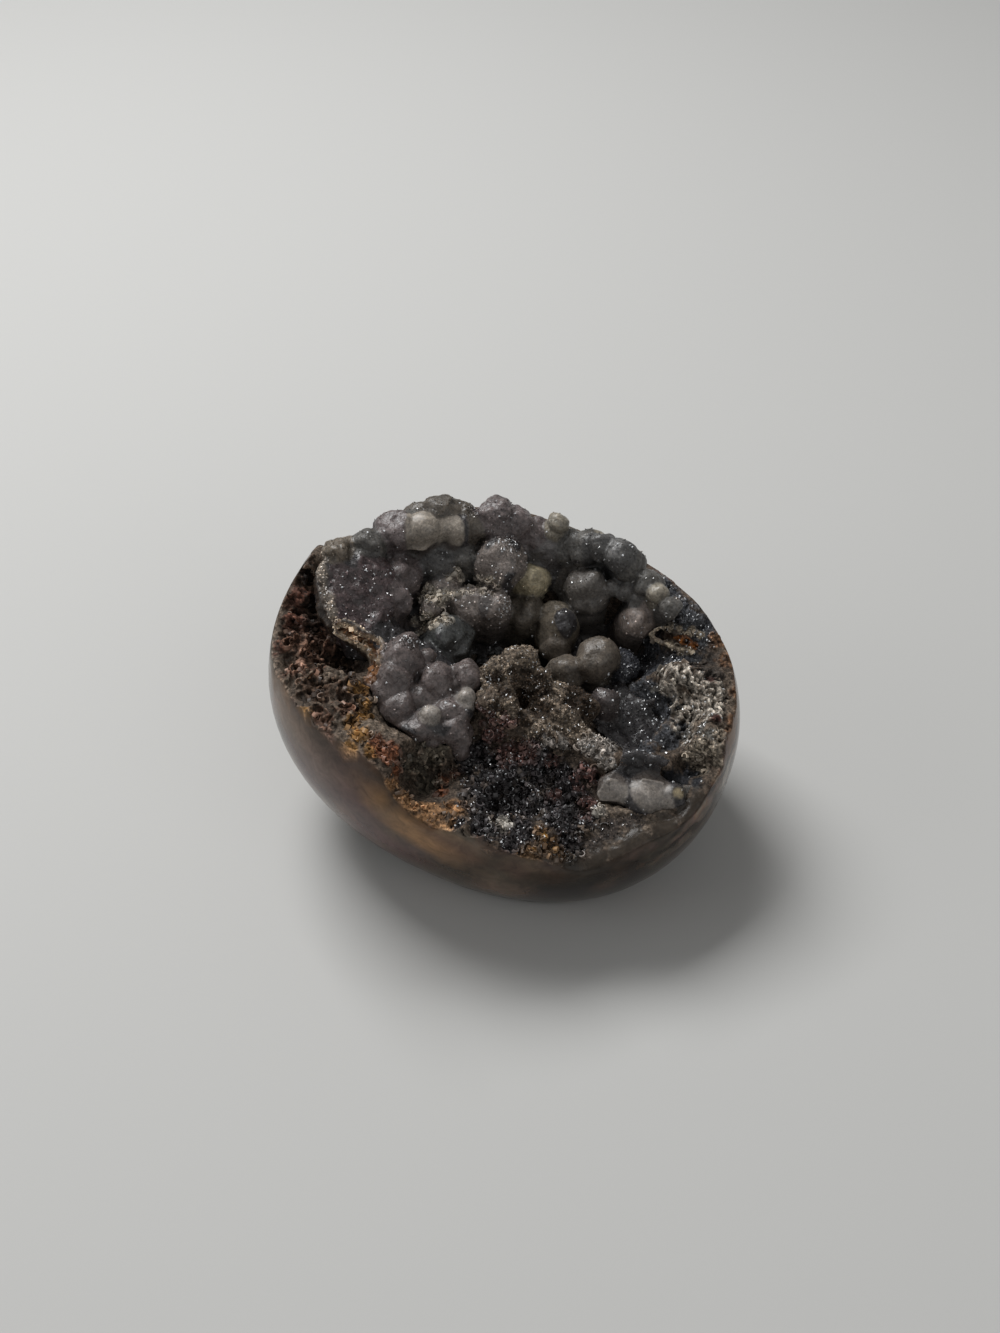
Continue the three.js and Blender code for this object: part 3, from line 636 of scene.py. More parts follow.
# The stone: its large forms come from the CAD solid. Its fine relief is made here.
stone = {
    "firstVoxel": 0.5, "soften": 8, "softenReach": 1.2, "secondVoxel": 0.4, "coverGap": 1.2,
    "knobRough": 0.35, "knobGrain": 2, "strandSwell": 0.5, "strandGrain": 1.1,
    "chunk": {"seed": 3, "jitter": 0.5},
    "knobs": [                # u, v, w and the half sizes of lumps that stand on the stone
        (0.2, 0.6, 9, 2.3, 2.3, 2.9), (-1.2, -2.4, 9, 2.6, 2.6, 2.4), (2.6, -0.6, 8.6, 2.8, 2, 2),
        (-0.4, -5.4, 9.2, 2.8, 2.4, 2.2), (7, -3.4, 8.8, 3.4, 1.7, 1.9), (12.4, -5.6, 8.8, 2.6, 1.6, 1.9),
        (6.8, -7, 8.8, 2.4, 1.2, 1.7), (7, -0.8, 8.4, 2.6, 1.7, 1.9), (9.8, -0.4, 7.8, 2.2, 1.6, 1.9),
        (21.4, 2.4, 4.4, 2.2, 2.8, 2.4), (20.2, -0.8, 4.4, 2.2, 2, 1.9), (21.2, 5.6, 5.4, 2, 2, 2),
    ],
    "strands": [              # thickness, height and path of thin walls that stand on the stone
        (0.2, 0.8, [
            (-24.2, -7.7, 2.9), (-23.1, -8.1, 2.3), (-22.7, -6.9, 2.3), (-22.9, -5.9, 2.6),
            (-22.8, -4.9, 3.6),
        ]),
        (0.22, 1, [(-21.9, -5.3, 5.2), (-21.6, -5.5, 2.9), (-21.5, -6.4, 1.4), (-21.4, -7.5, 1)]),
        (0.34, 0.9, [(-26.2, -6.7, 3), (-25.1, -5.7, 3)]),
        (0.2, 0.8, [(-25.9, -7.6, 2.9), (-25, -7.7, 3), (-24.2, -7.7, 3)]),
        (0.22, 0.9, [(-24, -8.6, 3), (-23, -9.1, 2.8), (-21.2, -10.4, 5.2), (-19.8, -10.7, 6.6)]),
        (0.22, 0.9, [
            (-24.1, -14.1, 7), (-25, -11.6, 4.6), (-25, -9.9, 3), (-23.8, -9.7, 3), (-22.3, -11.3, 4.8),
        ]),
        (0.2, 0.8, [(-20.1, -5.9, 2), (-20.3, -6.4, 0.6), (-19.4, -8.4, 3.4), (-18.6, -10.3, 7.2)]),
        (0.2, 0.7, [(-22.9, -16.1, 7), (-20.6, -17.3, 8.5), (-19.4, -15.9, 9), (-17.5, -16.7, 9.6)]),
        (0.22, 0.8, [(-26.6, -3.6, 3.4), (-25.4, -4.4, 3.2), (-24.6, -3.4, 3.4)]),
        (0.13, 0.4, [(-4.4, -13.4, 7.9), (-2.9, -15.4, 6), (-1.4, -18.6, 6.7)]),
        (0.13, 0.4, [(-5.6, -14.7, 7.6), (-4, -16.3, 5), (-3.4, -18.4, 5.4)]),
        (0.13, 0.35, [(-2.7, -12.9, 7.1), (-0.8, -16.7, 6.3)]),
        (0.3, 0.35, [
            (14.3, 14.8, 6.8), (15.6, 15.1, 7.5), (16.9, 15.3, 8), (18.3, 15.3, 8.5), (19.4, 15.4, 8.9),
        ]),
        (0.32, 0.5, [
            (14.3, 14.6, 6.5), (13.9, 13.8, 5.8), (15.2, 13.5, 5.9), (16.6, 13.2, 6.5), (18, 13.1, 7),
            (19.2, 13.2, 7.4),
        ]),
    ],
    "bank": [                 # a low bank of stone along the sawn grapes
        (16.4, -12, 7.6), (18.6, -11.6, 8), (20.6, -10.9, 8.2), (22.7, -10, 8.6), (24.5, -8.6, 9),
        (25.8, -6.9, 9),
    ],
    "bankThick": 0.9, "bankTall": 0.8, "strandStep": 0.2,
    "rubble": {
        "kind": "CLOUDS", "size": 0.9, "depth": 1.2, "level": 0.4, "noise_type": "HARD_NOISE",
        "noise_depth": 3,
    },
    "sponge": {
        "kind": "CLOUDS", "size": 1.1, "depth": -1.4, "level": 0.25, "noise_type": "HARD_NOISE",
        "noise_depth": 1,
    },
    "spongy": {
        "druse": 1, "redDruse": 1, "rust": 0.15, "cavity": 0.15, "ochre": 0.8, "gold": 0.8, "fuzzy": 0.3,
        "lace": 0.6, "orange": 0.4, "crack": 1, "sand": 0.25, "paleDruse": 0.6, "matrix": 0.3,
    },
    "rubbly": {
        "sand": 1, "darkSand": 1, "paleDruse": 0.8, "ochre": 0.5, "orange": 0.5, "blackDruse": 0.8,
        "mottled": 0.4, "crackRim": 0.5,
    },
    # Forms pushed into the surface, each with the finishes that it lies on.
    "caves": {"kind": "CLOUDS", "size": 2.2, "depth": 2.6, "level": 0.56, "noise_depth": 1},
    "caved": {
        "cavity": 1, "rust": 1, "recess": 0.6, "druse": 0.9, "redDruse": 0.9, "crumble": 0.25,
        "blackDruse": 0.5, "sand": 0.45, "darkSand": 0.5, "blueDruse": 0.25, "mottled": 0.3, "ochre": 0.6,
        "matrix": 0.3,
    },
    "voxel": 0.22,
    # Small shapes that are scattered on the stone before its last remesh, with their finishes.
    "crumbs": {"perArea": 3.4, "sizes": ((0.16, 0.16, 0.16), (0.38, 0.34, 0.34)), "lean": 3.1, "seed": 11},
    "blades": {"perArea": 0.7, "sizes": ((0.6, 0.7, 0.5), (1.5, 1.3, 1.3)), "lean": 0.7, "seed": 31},
    "curls": {"perArea": 0.5, "sizes": ((0.35, 0.35, 0.5), (1.1, 0.9, 1.1)), "lean": 0.5, "seed": 41},
    "crumbly": {
        "sand": 1, "darkSand": 0.8, "orange": 0.7, "fuzzy": 0.6, "paleDruse": 1, "druse": 0.8,
        "redDruse": 0.8, "ochre": 0.8, "mottled": 0.3, "blackDruse": 0.6, "crackRim": 0.2, "matrix": 0.4,
        "paleBeige": 0.4, "brownEdge": 0.3, "cavity": 0.03, "rust": 0.04, "blueDruse": 0.3, "darkEdge": 0.4,
        "greyGrains": 0.8,
    },
    "bladed": {"cavity": 0.25, "rust": 0.5, "recess": 0.6, "druse": 0.15},
    "curled": {"cavity": 0.2, "rust": 0.2, "pinkRidge": 0.6, "druse": 0.3, "redDruse": 0.4},
    "threads": {
        "gold": 1, "lace": 1, "orange": 0.6, "ochre": 0.8, "fuzzy": 0.5, "paleDruse": 0.7, "redDruse": 0.8,
        "druse": 0.4, "crumble": 0.06, "rust": 0.2, "cavity": 0.1, "pinkRidge": 0.4, "crackRim": 0.3,
        "recess": 0.12, "paleBeige": 0.1, "brownEdge": 0.2,
    },
    "folds": {
        "kind": "MARBLE", "size": 0.5, "depth": 1.5, "turbulence": 18, "marble_type": "SHARP",
        "direction": "Z",
    },
    "foldScale": (5.5, 3.2, 3.4),      # thin leaves that lie along the ball, stretched by this much
    "folded": {
        "crumble": 1, "paleBeige": 0.7, "brownEdge": 0.5, "darkEdge": 0.4, "cavity": 0.35, "redBrown": 0.3,
        "rust": 0.5,
    },
    "ungrained": {"crumble": 0.85, "paleBeige": 0.7, "rust": 0.6, "redBrown": 0.8, "cavity": 0.5},
    "slick": {"slickLeft": 1, "slickRight": 1},
    "grain": {"kind": "CLOUDS", "size": 0.5, "depth": 0.3, "noise_depth": 2},
    "druzy": {"kind": "VORONOI", "size": 0.42, "depth": 0.4},
    "drused": {"druse": 1, "redDruse": 1, "sand": 0.7, "blackDruse": 1},
    "roughReach": 1.5, "slickPolish": 0.85, "hollowRounds": 14, "bandsSpare": 0.3, "spareFacing": -0.3,
    "crystalsIn": (-0.985, -0.965), "sugarOut": (-0.15, 0.1),      # none on the ball, no sugar in holes
    "mostTriangles": 188000,  # the rest are taken from the smooth skin and from under the crust
    # What grows on the finished stone: the share of each finish's places that carries it.
    "sparkle": {
        "druse": 1, "redDruse": 0.8, "blackDruse": 0.8, "sand": 0.3, "paleDruse": 0.6, "blueDruse": 0.5,
        "mottled": 0.2, "crumble": 0.1, "ochre": 0.3, "darkSand": 0.3, "pocketShade": 0.2, "rust": 0.03,
        "greyGrains": 0.8,
    },
    "sugar": {
        "sand": 1, "darkSand": 0.6, "paleDruse": 1, "redDruse": 0.7, "druse": 0.5, "lace": 1, "ochre": 0.6,
        "crumble": 0.06, "mottled": 0.3, "fuzzy": 0.25, "blackDruse": 0.5, "paleBeige": 0.3, "orange": 0.4,
    },
}


def addKnobs(bm):
    for u, v, w, *halves in stone["knobs"]:
        made = bmesh.ops.create_icosphere(bm, subdivisions=3, radius=1)["verts"]
        for vert in made:
            vert.co *= 1 + stone["knobRough"] * noise.noise(vert.co * stone["knobGrain"] + Vector((u, v, w)))
        bmesh.ops.scale(bm, verts=made, vec=halves)
        bmesh.ops.translate(bm, verts=made, vec=(u, v, w))


def smoothPath(path, step):
    # points a step apart on a smooth curve through the path's places
    ends = [Vector(place) for place in path]
    ends = [ends[0] * 2 - ends[1]] + ends + [ends[-1] * 2 - ends[-2]]
    points = []
    for before, start, stop, after in zip(ends, ends[1:], ends[2:], ends[3:]):
        count = max(1, round((stop - start).length / step))
        for part in range(count):
            t = part / count
            bend = (stop - before) * t + (before * 2 - start * 5 + stop * 4 - after) * t ** 2
            bend += (start * 3 - before - stop * 3 + after) * t ** 3
            points.append(start + bend / 2)
    return points + [ends[-2]]


def addStrands(bm, strands, step):
    for thick, tall, path in strands:
        for place in smoothPath(path, step):
            made = bmesh.ops.create_icosphere(bm, subdivisions=1, radius=1)["verts"]
            swell = 1 + stone["strandSwell"] * noise.noise(place * stone["strandGrain"])
            bmesh.ops.scale(bm, verts=made, vec=(thick * swell, thick * swell, tall))
            bmesh.ops.translate(bm, verts=made, vec=place)


def makeStone():
    piece = copyOfNode("agate_body", "agateBody")
    voxelRemesh(piece, stone["firstVoxel"])
    mesh = piece.data
    polish = polishSkin(mesh)
    places = placesOf(mesh)
    loose = np.clip(relaxedMask(mesh, 1 - polish, rounds=3) * stone["softenReach"], 0, 1)
    places += (relaxed(mesh, places, stone["soften"]) - places) * loose[:, None]
    setPlaces(mesh, places)
    stage("stone softened")

    reshape(piece, addKnobs)
    voxelRemesh(piece, stone["secondVoxel"])
    polish = polishSkin(piece.data)
    weights = finishWeights(placesOf(piece.data))
    rough = (1 - polish) * (1 - mixOf(weights, stone["slick"]))
    displace(piece, "caves", mixOf(weights, stone["caved"]) * rough, **stone["caves"])
    displace(piece, "rubble", mixOf(weights, stone["rubbly"]) * rough, **stone["rubble"])
    applyModifiers(piece)
    scatters = [
        ("crumbly", chunkTemplate(**stone["chunk"]), "crumbs"), ("bladed", bladeTemplate(), "blades"),
        ("curled", curlTemplate(), "curls"),
    ]
    for name, _, _ in scatters:
        setMask(piece.data, name, mixOf(weights, stone[name]) * rough)
    bank = (stone["bankThick"], stone["bankTall"], stone["bank"])
    reshape(piece, addStrands, [*stone["strands"], bank], stone["strandStep"])
    for name, template, settings in scatters:
        scatterOn(piece, template, name, **stone[settings])
        bpy.data.objects.remove(template)
    voxelRemesh(piece, stone["voxel"])
    stage(f"stone remeshed, {len(piece.data.vertices)} points")
    return piece


def underCrust(places):
    # 1 where the crust of grapes lies over the stone and hides it
    cover = copyOfNode("grape_crust", "cover")
    bm = bmesh.new()
    bm.from_mesh(cover.data)
    tree = BVHTree.FromBMesh(bm)
    hidden = [tree.ray_cast(Vector(place) + up * stone["coverGap"], up)[0] is not None for place in places]
    bm.free()
    bpy.data.objects.remove(cover)
    return np.array(hidden, dtype=float)


def finishStone(piece):
    mesh = piece.data
    keepInBall(mesh)
    polish = polishSkin(mesh)
    places = placesOf(mesh)
    weights = finishWeights(places)
    rough = np.clip(relaxedMask(mesh, 1 - polish, rounds=2) * stone["roughReach"], 0, 1) * (1 - polish)
    rough *= 1 - mixOf(weights, stone["slick"])
    displace(piece, "sponge", rough * mixOf(weights, stone["spongy"]), **stone["sponge"])
    displace(piece, "grain", rough * (1 - mixOf(weights, stone["ungrained"])), **stone["grain"])
    displace(piece, "druzy", rough * mixOf(weights, stone["drused"]), **stone["druzy"])
    holder = newPiece("holder", None)
    holder.scale = stone["foldScale"]
    bpy.context.view_layer.update()
    displace(piece, "folds", rough * mixOf(weights, stone["folded"]), holder=holder, **stone["folds"])
    banded = (places[:, 0] > skin["bandsFrom"]) & (places[:, 2] > 0)
    spare = np.maximum(polish * np.where(banded, stone["bandsSpare"], 1), underCrust(places))
    spare = np.maximum(spare, facingOf(mesh)[:, 2] < stone["spareFacing"])
    applyModifiers(piece)
    bpy.data.objects.remove(holder)
    thin(piece, spare, stone["mostTriangles"])
    mesh = piece.data
    keepInBall(mesh)
    polish = polishSkin(mesh)
    places = placesOf(mesh)
    weights = finishWeights(places)
    share = relaxedMask(mesh, polish, rounds=2)[:, None]
    setTint(mesh, faceColours(weights, places) * (1 - share) + skinColours(places) * share)
    setMask(mesh, "polish", np.maximum(polish, mixOf(weights, stone["slick"]) * stone["slickPolish"]))
    # the hollow mask, from which the material paints shade in hollows and light on raised edges; it also
    # keeps sugar out of holes
    hollow = hollowOf(mesh, places, stone["hollowRounds"])
    setMask(mesh, "hollow", hollow * (1 - polish))
    inside = (1 - polish) * ramp(-ballSize(places), *stone["crystalsIn"])
    setMask(mesh, "sparkle", mixOf(weights, stone["sparkle"]) * inside)
    setMask(mesh, "sugar", mixOf(weights, stone["sugar"]) * inside * ramp(-hollow, *stone["sugarOut"]))
    setMask(mesh, "threads", mixOf(weights, stone["threads"]) * inside)
    piece.vertex_groups.clear()
    stage(f"stone finished, {len(mesh.polygons)} faces")


# The crust of grapes: each row is u, v, w of its middle, radius, squareness and finish.
grapes = {
    "backCrest": [
        (-26.5, 4, 8.2, 1.8, 2, "paleRim"), (-23.6, 7.2, 7, 2.3, 2, "greyGreen"),
        (-21.2, 10.8, 7, 2.6, 2.4, "mauve"), (-18.5, 11.8, 7.9, 2.5, 2.4, "sliced"),
        (-17.2, 16, 8, 2.4, 1.7, "crest"), (-15.3, 13.8, 8, 2, 2.4, "sliced"),
        (-17, 13.6, 7.4, 1.6, 2, "crest"), (-10.6, 18.4, 8.2, 2.9, 2.2, "mauve"),
        (-8.2, 19, 8, 2.5, 2, "mauve"), (-5.4, 19.4, 6.2, 2.5, 2, "mauve"),
        (-3.8, 19.2, 5, 2.9, 2, "smoke"), (-3.1, 21, 9.4, 1.4, 2, "pale"),
        (-3.2, 20.6, 7.8, 1.5, 2, "pale"), (-0.2, 20.4, 6.6, 2.3, 2, "greyGreen"),
        (1.6, 20.6, 7.6, 2.3, 2, "greyGreen"), (3.6, 20.2, 9.8, 2.4, 1.7, "grey"),
        (5.6, 20, 10.4, 2.2, 1.7, "grey"), (7.8, 20, 9, 2.2, 2, "greyGreen"),
        (10.6, 18.8, 9.2, 2, 2, "greyGreen"), (12.4, 17.5, 10.2, 1.5, 2, "pale"),
        (14.4, 16.2, 10.2, 1.5, 2, "greyGreen"), (-22.4, 13.4, 4.2, 1.8, 2, "crest"),
        (-20, 14.6, 6.2, 2, 2, "crest"), (-14.8, 16.8, 7.4, 2, 2, "crest"),
    ],
    "leftSlab": [
        (-24.8, 1.8, 6.2, 2.5, 2.6, "slab"), (-21.6, 3.8, 6, 2.8, 3, "slab"),
        (-23.2, -1.2, 6, 2.6, 2.6, "slab"), (-20, 0.6, 5.8, 2.8, 3, "slab"),
        (-17.8, 3.2, 4.6, 2.5, 2.2, "mauve"), (-20.6, -3, 5.6, 2.4, 2.4, "slab"),
        (-18.4, 7, 4.2, 2.6, 2, "mauve"), (-22.3, 1.2, 5.6, 3.2, 3, "slab"),
        (-21, -0.8, 5.2, 3.2, 3, "slab"),
    ],
    "hollow": [
        (-15.2, 11.2, 4, 2.7, 2, "grey"), (-12, 13, 4.6, 2.3, 2, "greyGreen"),
        (-7.8, 14.3, 5.4, 3.1, 2.2, "sparkly"), (-3.3, 15, 3, 2.3, 2, "olive"),
        (-9, 8.2, 2.8, 2.6, 2.4, "sparkly"), (-5.8, 9.2, 3, 2.3, 2, "sparkly"),
        (-12.8, 8.6, 2.4, 2.3, 2, "sparkly"), (-9.3, 2.8, 1.4, 3.2, 2, "darkGreen"),
        (-2, 11.6, 0.8, 2.8, 2, "brown"), (2.8, 10.8, 1, 2.5, 1.9, "beige"),
        (4.2, 16.8, 4.2, 3.7, 1.6, "pointed"), (11.8, 15.4, 5, 2.4, 2, "dusky"),
        (8.9, 7.7, 4.6, 2.6, 2.1, "lowBeige"), (5.9, 5, 3, 2.4, 2, "lowBeige"),
        (12, 2, 6.4, 1.9, 2.2, "lump"), (12.6, 9.8, 2.4, 2.3, 2, "darkDruse"),
    ],
    "frontCluster": [
        (-12.9, -5.6, 8.6, 2.8, 1.6, "front"), (-12.8, -8.6, 8, 2.9, 1.8, "front"),
        (-7.8, -6.6, 8.4, 2.4, 2.2, "front"), (-5.1, -4.2, 8.5, 2.3, 1.6, "front"),
        (-6.8, -11.3, 10.2, 1.25, 2.2, "pebble"), (-3.7, -7.2, 9.8, 1.4, 2, "pebble"),
        (-10.7, -11.5, 7.9, 2.4, 1.8, "front"), (-3, -11.2, 8, 2, 1.7, "front"),
        (-7.2, -12.8, 8, 1.9, 1.8, "front"), (-13.2, -4, 9.4, 1.8, 1.6, "front"),
        (-4.8, -9.6, 8.4, 2.2, 1.9, "front"), (-12.6, -10.8, 7.2, 1.8, 2, "front"),
    ],
    "sawn": [
        (16.7, -9.6, 8.9, 1.85, 2.2, "sawn"), (21.1, -7.8, 9.1, 2.25, 2.2, "sawn"),
        (23.1, -8.3, 9.2, 1.4, 2, "sawn"), (24.1, -7, 9.8, 0.95, 2, "yellow"),
        (25.5, -5.6, 9, 1.4, 2, "greySawn"), (24, -7, 8, 2, 2.2, "ledge"),
    ],
    "finishes": {             # colour, sparkle, how far down its head is sawn flat, and how bumpy it is
        "pale": ("#7b756a", 0.1, 1, 0.3), "paleRim": ("#595147", 0.2, 1, 0.6),
        "greyGreen": ("#4f4d4a", 0.12, 1, 0.4), "mauve": ("#595150", 0.14, 1, 0.5),
        "olive": ("#a0967e", 0.05, 1, 0.3), "crest": ("#4a443d", 0.1, 1, 0.5),
        "smoke": ("#504d4c", 0.15, 1, 0.3), "grey": ("#4c4b4a", 0.2, 1, 0.4),
        "slab": ("#433939", 0.4, 1, 0.6), "sparkly": ("#726a65", 0.35, 1, 0.35),
        "lump": ("#46403f", 0.3, 1, 0.4), "darkGreen": ("#424342", 0.1, 1, 0.4),
        "brown": ("#544e46", 0.1, 1, 0.3), "beige": ("#5b544a", 0.04, 1, 0.25),
        "darkDruse": ("#34353a", 0.8, 1, 0.6), "front": ("#524a48", 0.1, 1, 0.4),
        "pebble": ("#817b75", 0.05, 1, 0.15), "sliced": ("#8b8379", 0, 0.22, 0),
        "sawn": ("#7a746e", 0, 0.3, 0), "greySawn": ("#625f5a", 0, 0.4, 0.1),
        "slabSide": ("#3f3537", 0.3, 1, 0.6), "yellow": ("#8c8068", 0, 0.4, 0.1),
        "ledge": ("#545250", 0.1, 1, 0.4), "flatLump": ("#5d5856", 0.3, 1, 0.3),
        "pointed": ("#55514d", 0.08, 1, 0.2), "dusky": ("#776d67", 0.1, 1, 0.3),
        "lowBeige": ("#544d45", 0.05, 1, 0.25),
    },
    "more": [                 # grapes that are too small for the solid
        (1.6, 12.6, 1.8, 1.9, 2, "beige"), (3.6, 8.8, 1.4, 2, 2, "lowBeige"),
        (11.6, 17, 6.2, 1.9, 2, "dusky"), (10.4, 17, 7, 1.6, 2, "ledge"), (8.6, 17.4, 7, 1.4, 2, "ledge"),
        (7, 17.6, 6.4, 1.3, 2, "ledge"), (-13.2, 5.6, 2.6, 1.4, 2, "sparkly"),
        (-10.4, -3.4, 7.4, 1.3, 2, "front"), (2.4, 21.8, 8, 1.5, 2, "pale"),
        (-9, -9, 7.6, 2.3, 1.8, "front"), (-9.8, -5.6, 6.8, 2.1, 2, "front"),
        (-5.4, -12.8, 7.6, 1.6, 1.8, "front"), (-1.8, -12.6, 7, 1.3, 2, "front"),
        (-12.6, 16, 7.6, 2, 2, "crest"), (-22.4, -3.7, 6.4, 1.8, 2.6, "slabSide"),
        (-23.8, -2.3, 6.6, 1.8, 2.6, "slabSide"), (-20, 13, 7.4, 1.7, 2, "greyGreen"),
        (-25.4, 6, 7, 1.5, 2, "paleRim"), (-7.4, 8.6, 3.6, 1.8, 2.2, "flatLump"),
    ],
    "sawDirection": (0.1, -0.52, 0.85), "sawnSide": "#48423e", "partDark": 0.6, "partWidth": 0.1,
    "sawnCorners": 6, "facets": 7, "facetsFrom": 0.4,
    "facetReach": 0.9, "facetSpread": 0.2,      # in radii
    "cornerReach": 0.8, "cornerSpread": 0.3, "cornerJitter": 0.5,
    "tall": {"beige": 1.5, "lowBeige": 1.25, "dusky": 1.2, "olive": 1.1},      # how much taller than wide
    "sinks": [                # u, v, reach and how far the lining is let down between the grapes
        (-8.6, -8.4, 6, 0.9), (19.4, -8.4, 4.6, 0.5), (-7, 9, 8, 0.7), (6, 10, 8, 0.7),
    ],
    "plate": [(-24.5, 0.5, 3.6), (-21.5, -1, 3.8), (-21.6, 3, 3.6), (-18.9, 1.2, 2.4), (-23.5, -2.4, 2.6)],
    "plateTop": 8.9, "plateFall": 0.2,        # the slab's height at its outer edge, and how it falls away
    "plateFrom": -26, "plateWaves": 0.5, "plateWaveSize": 3.5, "plateEdge": (0.7, 1.1), "plateUp": (3, 5),
    "plateFacing": (-0.1, 0.3), "sinkEdge": (0.6, 1), "sinkFacing": (-0.1, 0.4),
    "rim": [
        (-28.2, 2.8, 8.2), (-27.6, 1.3, 8.7), (-26.3, -0.2, 9), (-25.2, -1.6, 9), (-23.9, -3.1, 8.8),
        (-22.9, -4.4, 8.6), (-22.1, -5.4, 8.5),
    ],
    "rimReach": 0.95,
    "lip": [
        (-22, -5.2, 8.5), (-20.4, -5.3, 8.6), (-19.2, -5.4, 8.7), (-17.6, -5.6, 8.8), (-16.2, -6, 8.8),
        (-15.9, -7.4, 8.8), (-15.5, -8.4, 8.8), (-15.4, -9.6, 8.6),
    ],
    "lipReach": 1.1, "lipSink": 0.8, "lipSinkEdge": (0.8, 1.6),
    "lace": [                 # pale crusts of fine leaves that lie on the grapes
        (-14.6, 6.9, 2.6, 1), (-13.6, 6.3, 3.4, 1), (-12.7, 6.5, 4, 0.9), (-12, 7.2, 4.3, 0.7),
        (-11.3, 7.8, 4.6, 0.5), (-10.4, 8.4, 5, 0.5), (-9.4, 9, 5.3, 0.5), (-8.2, 9.5, 5.5, 0.55),
        (-7, 10.1, 5.6, 0.5), (-10.2, 10.4, 4.4, 0.55), (-9.2, 10.9, 4.2, 0.6), (-7.8, 11.1, 5.5, 0.55),
        (-6.6, 11.5, 5.8, 0.5), (-12.6, 9.4, 4.4, 0.55), (-12.3, 10.6, 4.2, 0.55), (-11.3, 10.5, 3.9, 0.5),
        (-14.4, 4.1, 0.2, 0.8), (-13, 4, 1.4, 1), (-11.9, 3.3, 3.4, 0.9), (-10.7, 3.7, 4.6, 0.65),
        (-13, 3.3, 0.4, 0.8),
    ],
    "laceColour": "#9a9286", "laceEdge": 0.25, "laceRagged": 0.4, "laceFlat": 0.4,
    "strands": [              # thickness, height and path of the lip's two cream walls
        (0.42, 0.8, [
            (-22.2, -5.5, 8.6), (-21.7, -4.8, 8.9), (-20.4, -4.5, 9), (-19.2, -4.8, 9), (-18, -4.9, 9.1),
            (-16.7, -4.9, 9.2), (-15.7, -5.5, 9.2), (-15.3, -6.7, 9.1), (-15.1, -7.6, 9),
        ]),
        (0.27, 0.7, [
            (-21.9, -5.9, 8.1), (-20.5, -6.1, 8.2), (-19.2, -6.1, 8.3), (-18.1, -6.2, 8.4),
            (-17.2, -6.4, 8.4), (-16.6, -7.2, 8.5),
        ]),
    ],
    # the cavity side's colour is a painted shadow on the crust below the slab's rim and the lip
    "cream": "#a3937f", "groove": "#6c4a2e", "paleRim": "#7a7167", "cavityShadow": "#2f251d",
    "cavityShadowTop": 8.65, "cavityShadowReach": (0.3, 3.5, 2.5),      # painted shadow past the rim and the lip, on their outer side
    "rimCore": 0.5, "lipCore": 0.8, "creamReach": (0.35, 0.7), "borderSize": 0.8, "borderRagged": 0.25,
    "lining": "#343233", "liningSparkle": 0.3, "liningBumps": 0.5,
    "stemLength": 2.2, "tipFrom": 0.9, "grapeReach": 1.2, "sawnEdge": (0.12, 0.04),      # in radii
    "paintedTipLight": 1.15, "paintedFootShade": 0.42,       # painted light on a grape's top and painted shade at its foot, as shares of its colour
    "liningVoxel": 0.45, "liningSoften": 10,
    "crumbs": {"perArea": 5, "sizes": ((0.12, 0.12, 0.12), (0.32, 0.3, 0.3)), "lean": 3.1, "seed": 57},
    "glints": [               # u, v, w, reach and share of places that catch the light
        (-13.1, -4.4, 11, 1.3, 4), (-7.8, 15.2, 8.2, 2, 3), (-4.6, 9.4, 4.6, 1.8, 3),
        (-22, 2.8, 8.6, 2, 0.8), (-16.6, -7, 9.6, 1.4, 2), (12.8, 9.4, 4.6, 2.2, 2.5), (14, 4, 6, 2.2, 1.6),
        (12, 6, 5, 1.6, 1.6), (17, 3, 4.5, 3, 1), (-13.6, 17, 9.4, 1.4, 1.4), (-9.6, 18, 9.6, 2.4, 0.6),
        (-7, -9, 10.6, 1.4, 0.6),
    ],
    "voxel": 0.2, "uneven": 0.25, "unevenSize": 2.4, "stretch": 0.3,
    "draws": {"facet": 5.1, "facetStep": 3.7, "reach": 2.3, "corner": 3, "stretch": 1.37},  # in the noise
    "merging": 2, "lipKept": 1.5, "sawnKept": 1.2,      # the lip and the sawn grapes stay out of the merging
    "chunk": {"seed": 5, "jitter": 0.5}, "rimCrumbs": (0.7, 1.1), "wallCrumbs": (0.6, 1), "wallOften": 0.3,
    "spareFacing": (0.1, 0.3),
    "mounds": {"kind": "CLOUDS", "size": 1.3, "depth": 0.9, "noise_depth": 2},
    "lobes": {
        "kind": "VORONOI", "size": 1.7, "depth": -0.6, "level": 0.3, "distance_metric": "DISTANCE_SQUARED",
    },
    "mostTriangles": 192000,
    "bubbles": {"kind": "VORONOI", "size": 1.2, "depth": -0.3},
    "ragged": {"kind": "CLOUDS", "size": 0.5, "depth": 0.6, "noise_type": "HARD_NOISE", "noise_depth": 2},
    "druzy": {"kind": "VORONOI", "size": 0.36, "depth": 0.16},
    "cut": 0.985,             # share of the ball's size past which the crust was ground away flat
    "cutPolish": 0.9, "liningBorder": (0.005, 0.03), "raggedReach": (0.9, 1.4), "druzyLeast": 0.25,
    "hollowRounds": (14, 60), "wideHollowShade": 0.35,
    "growFacing": -0.2, "glintEdge": (0.5, 1), "tipOften": 0.6, "sugarOften": 0.12,      # what grows on it
    "wallReach": (0.4, 0.9), "wallSugar": 0.4, "innerReach": (0.6, 1.1), "innerLeaves": 0.3,
}


def allGrapes():
    groups = ("leftSlab", "backCrest", "hollow", "frontCluster", "sawn", "more")
    return [row for group in groups for row in grapes[group]]


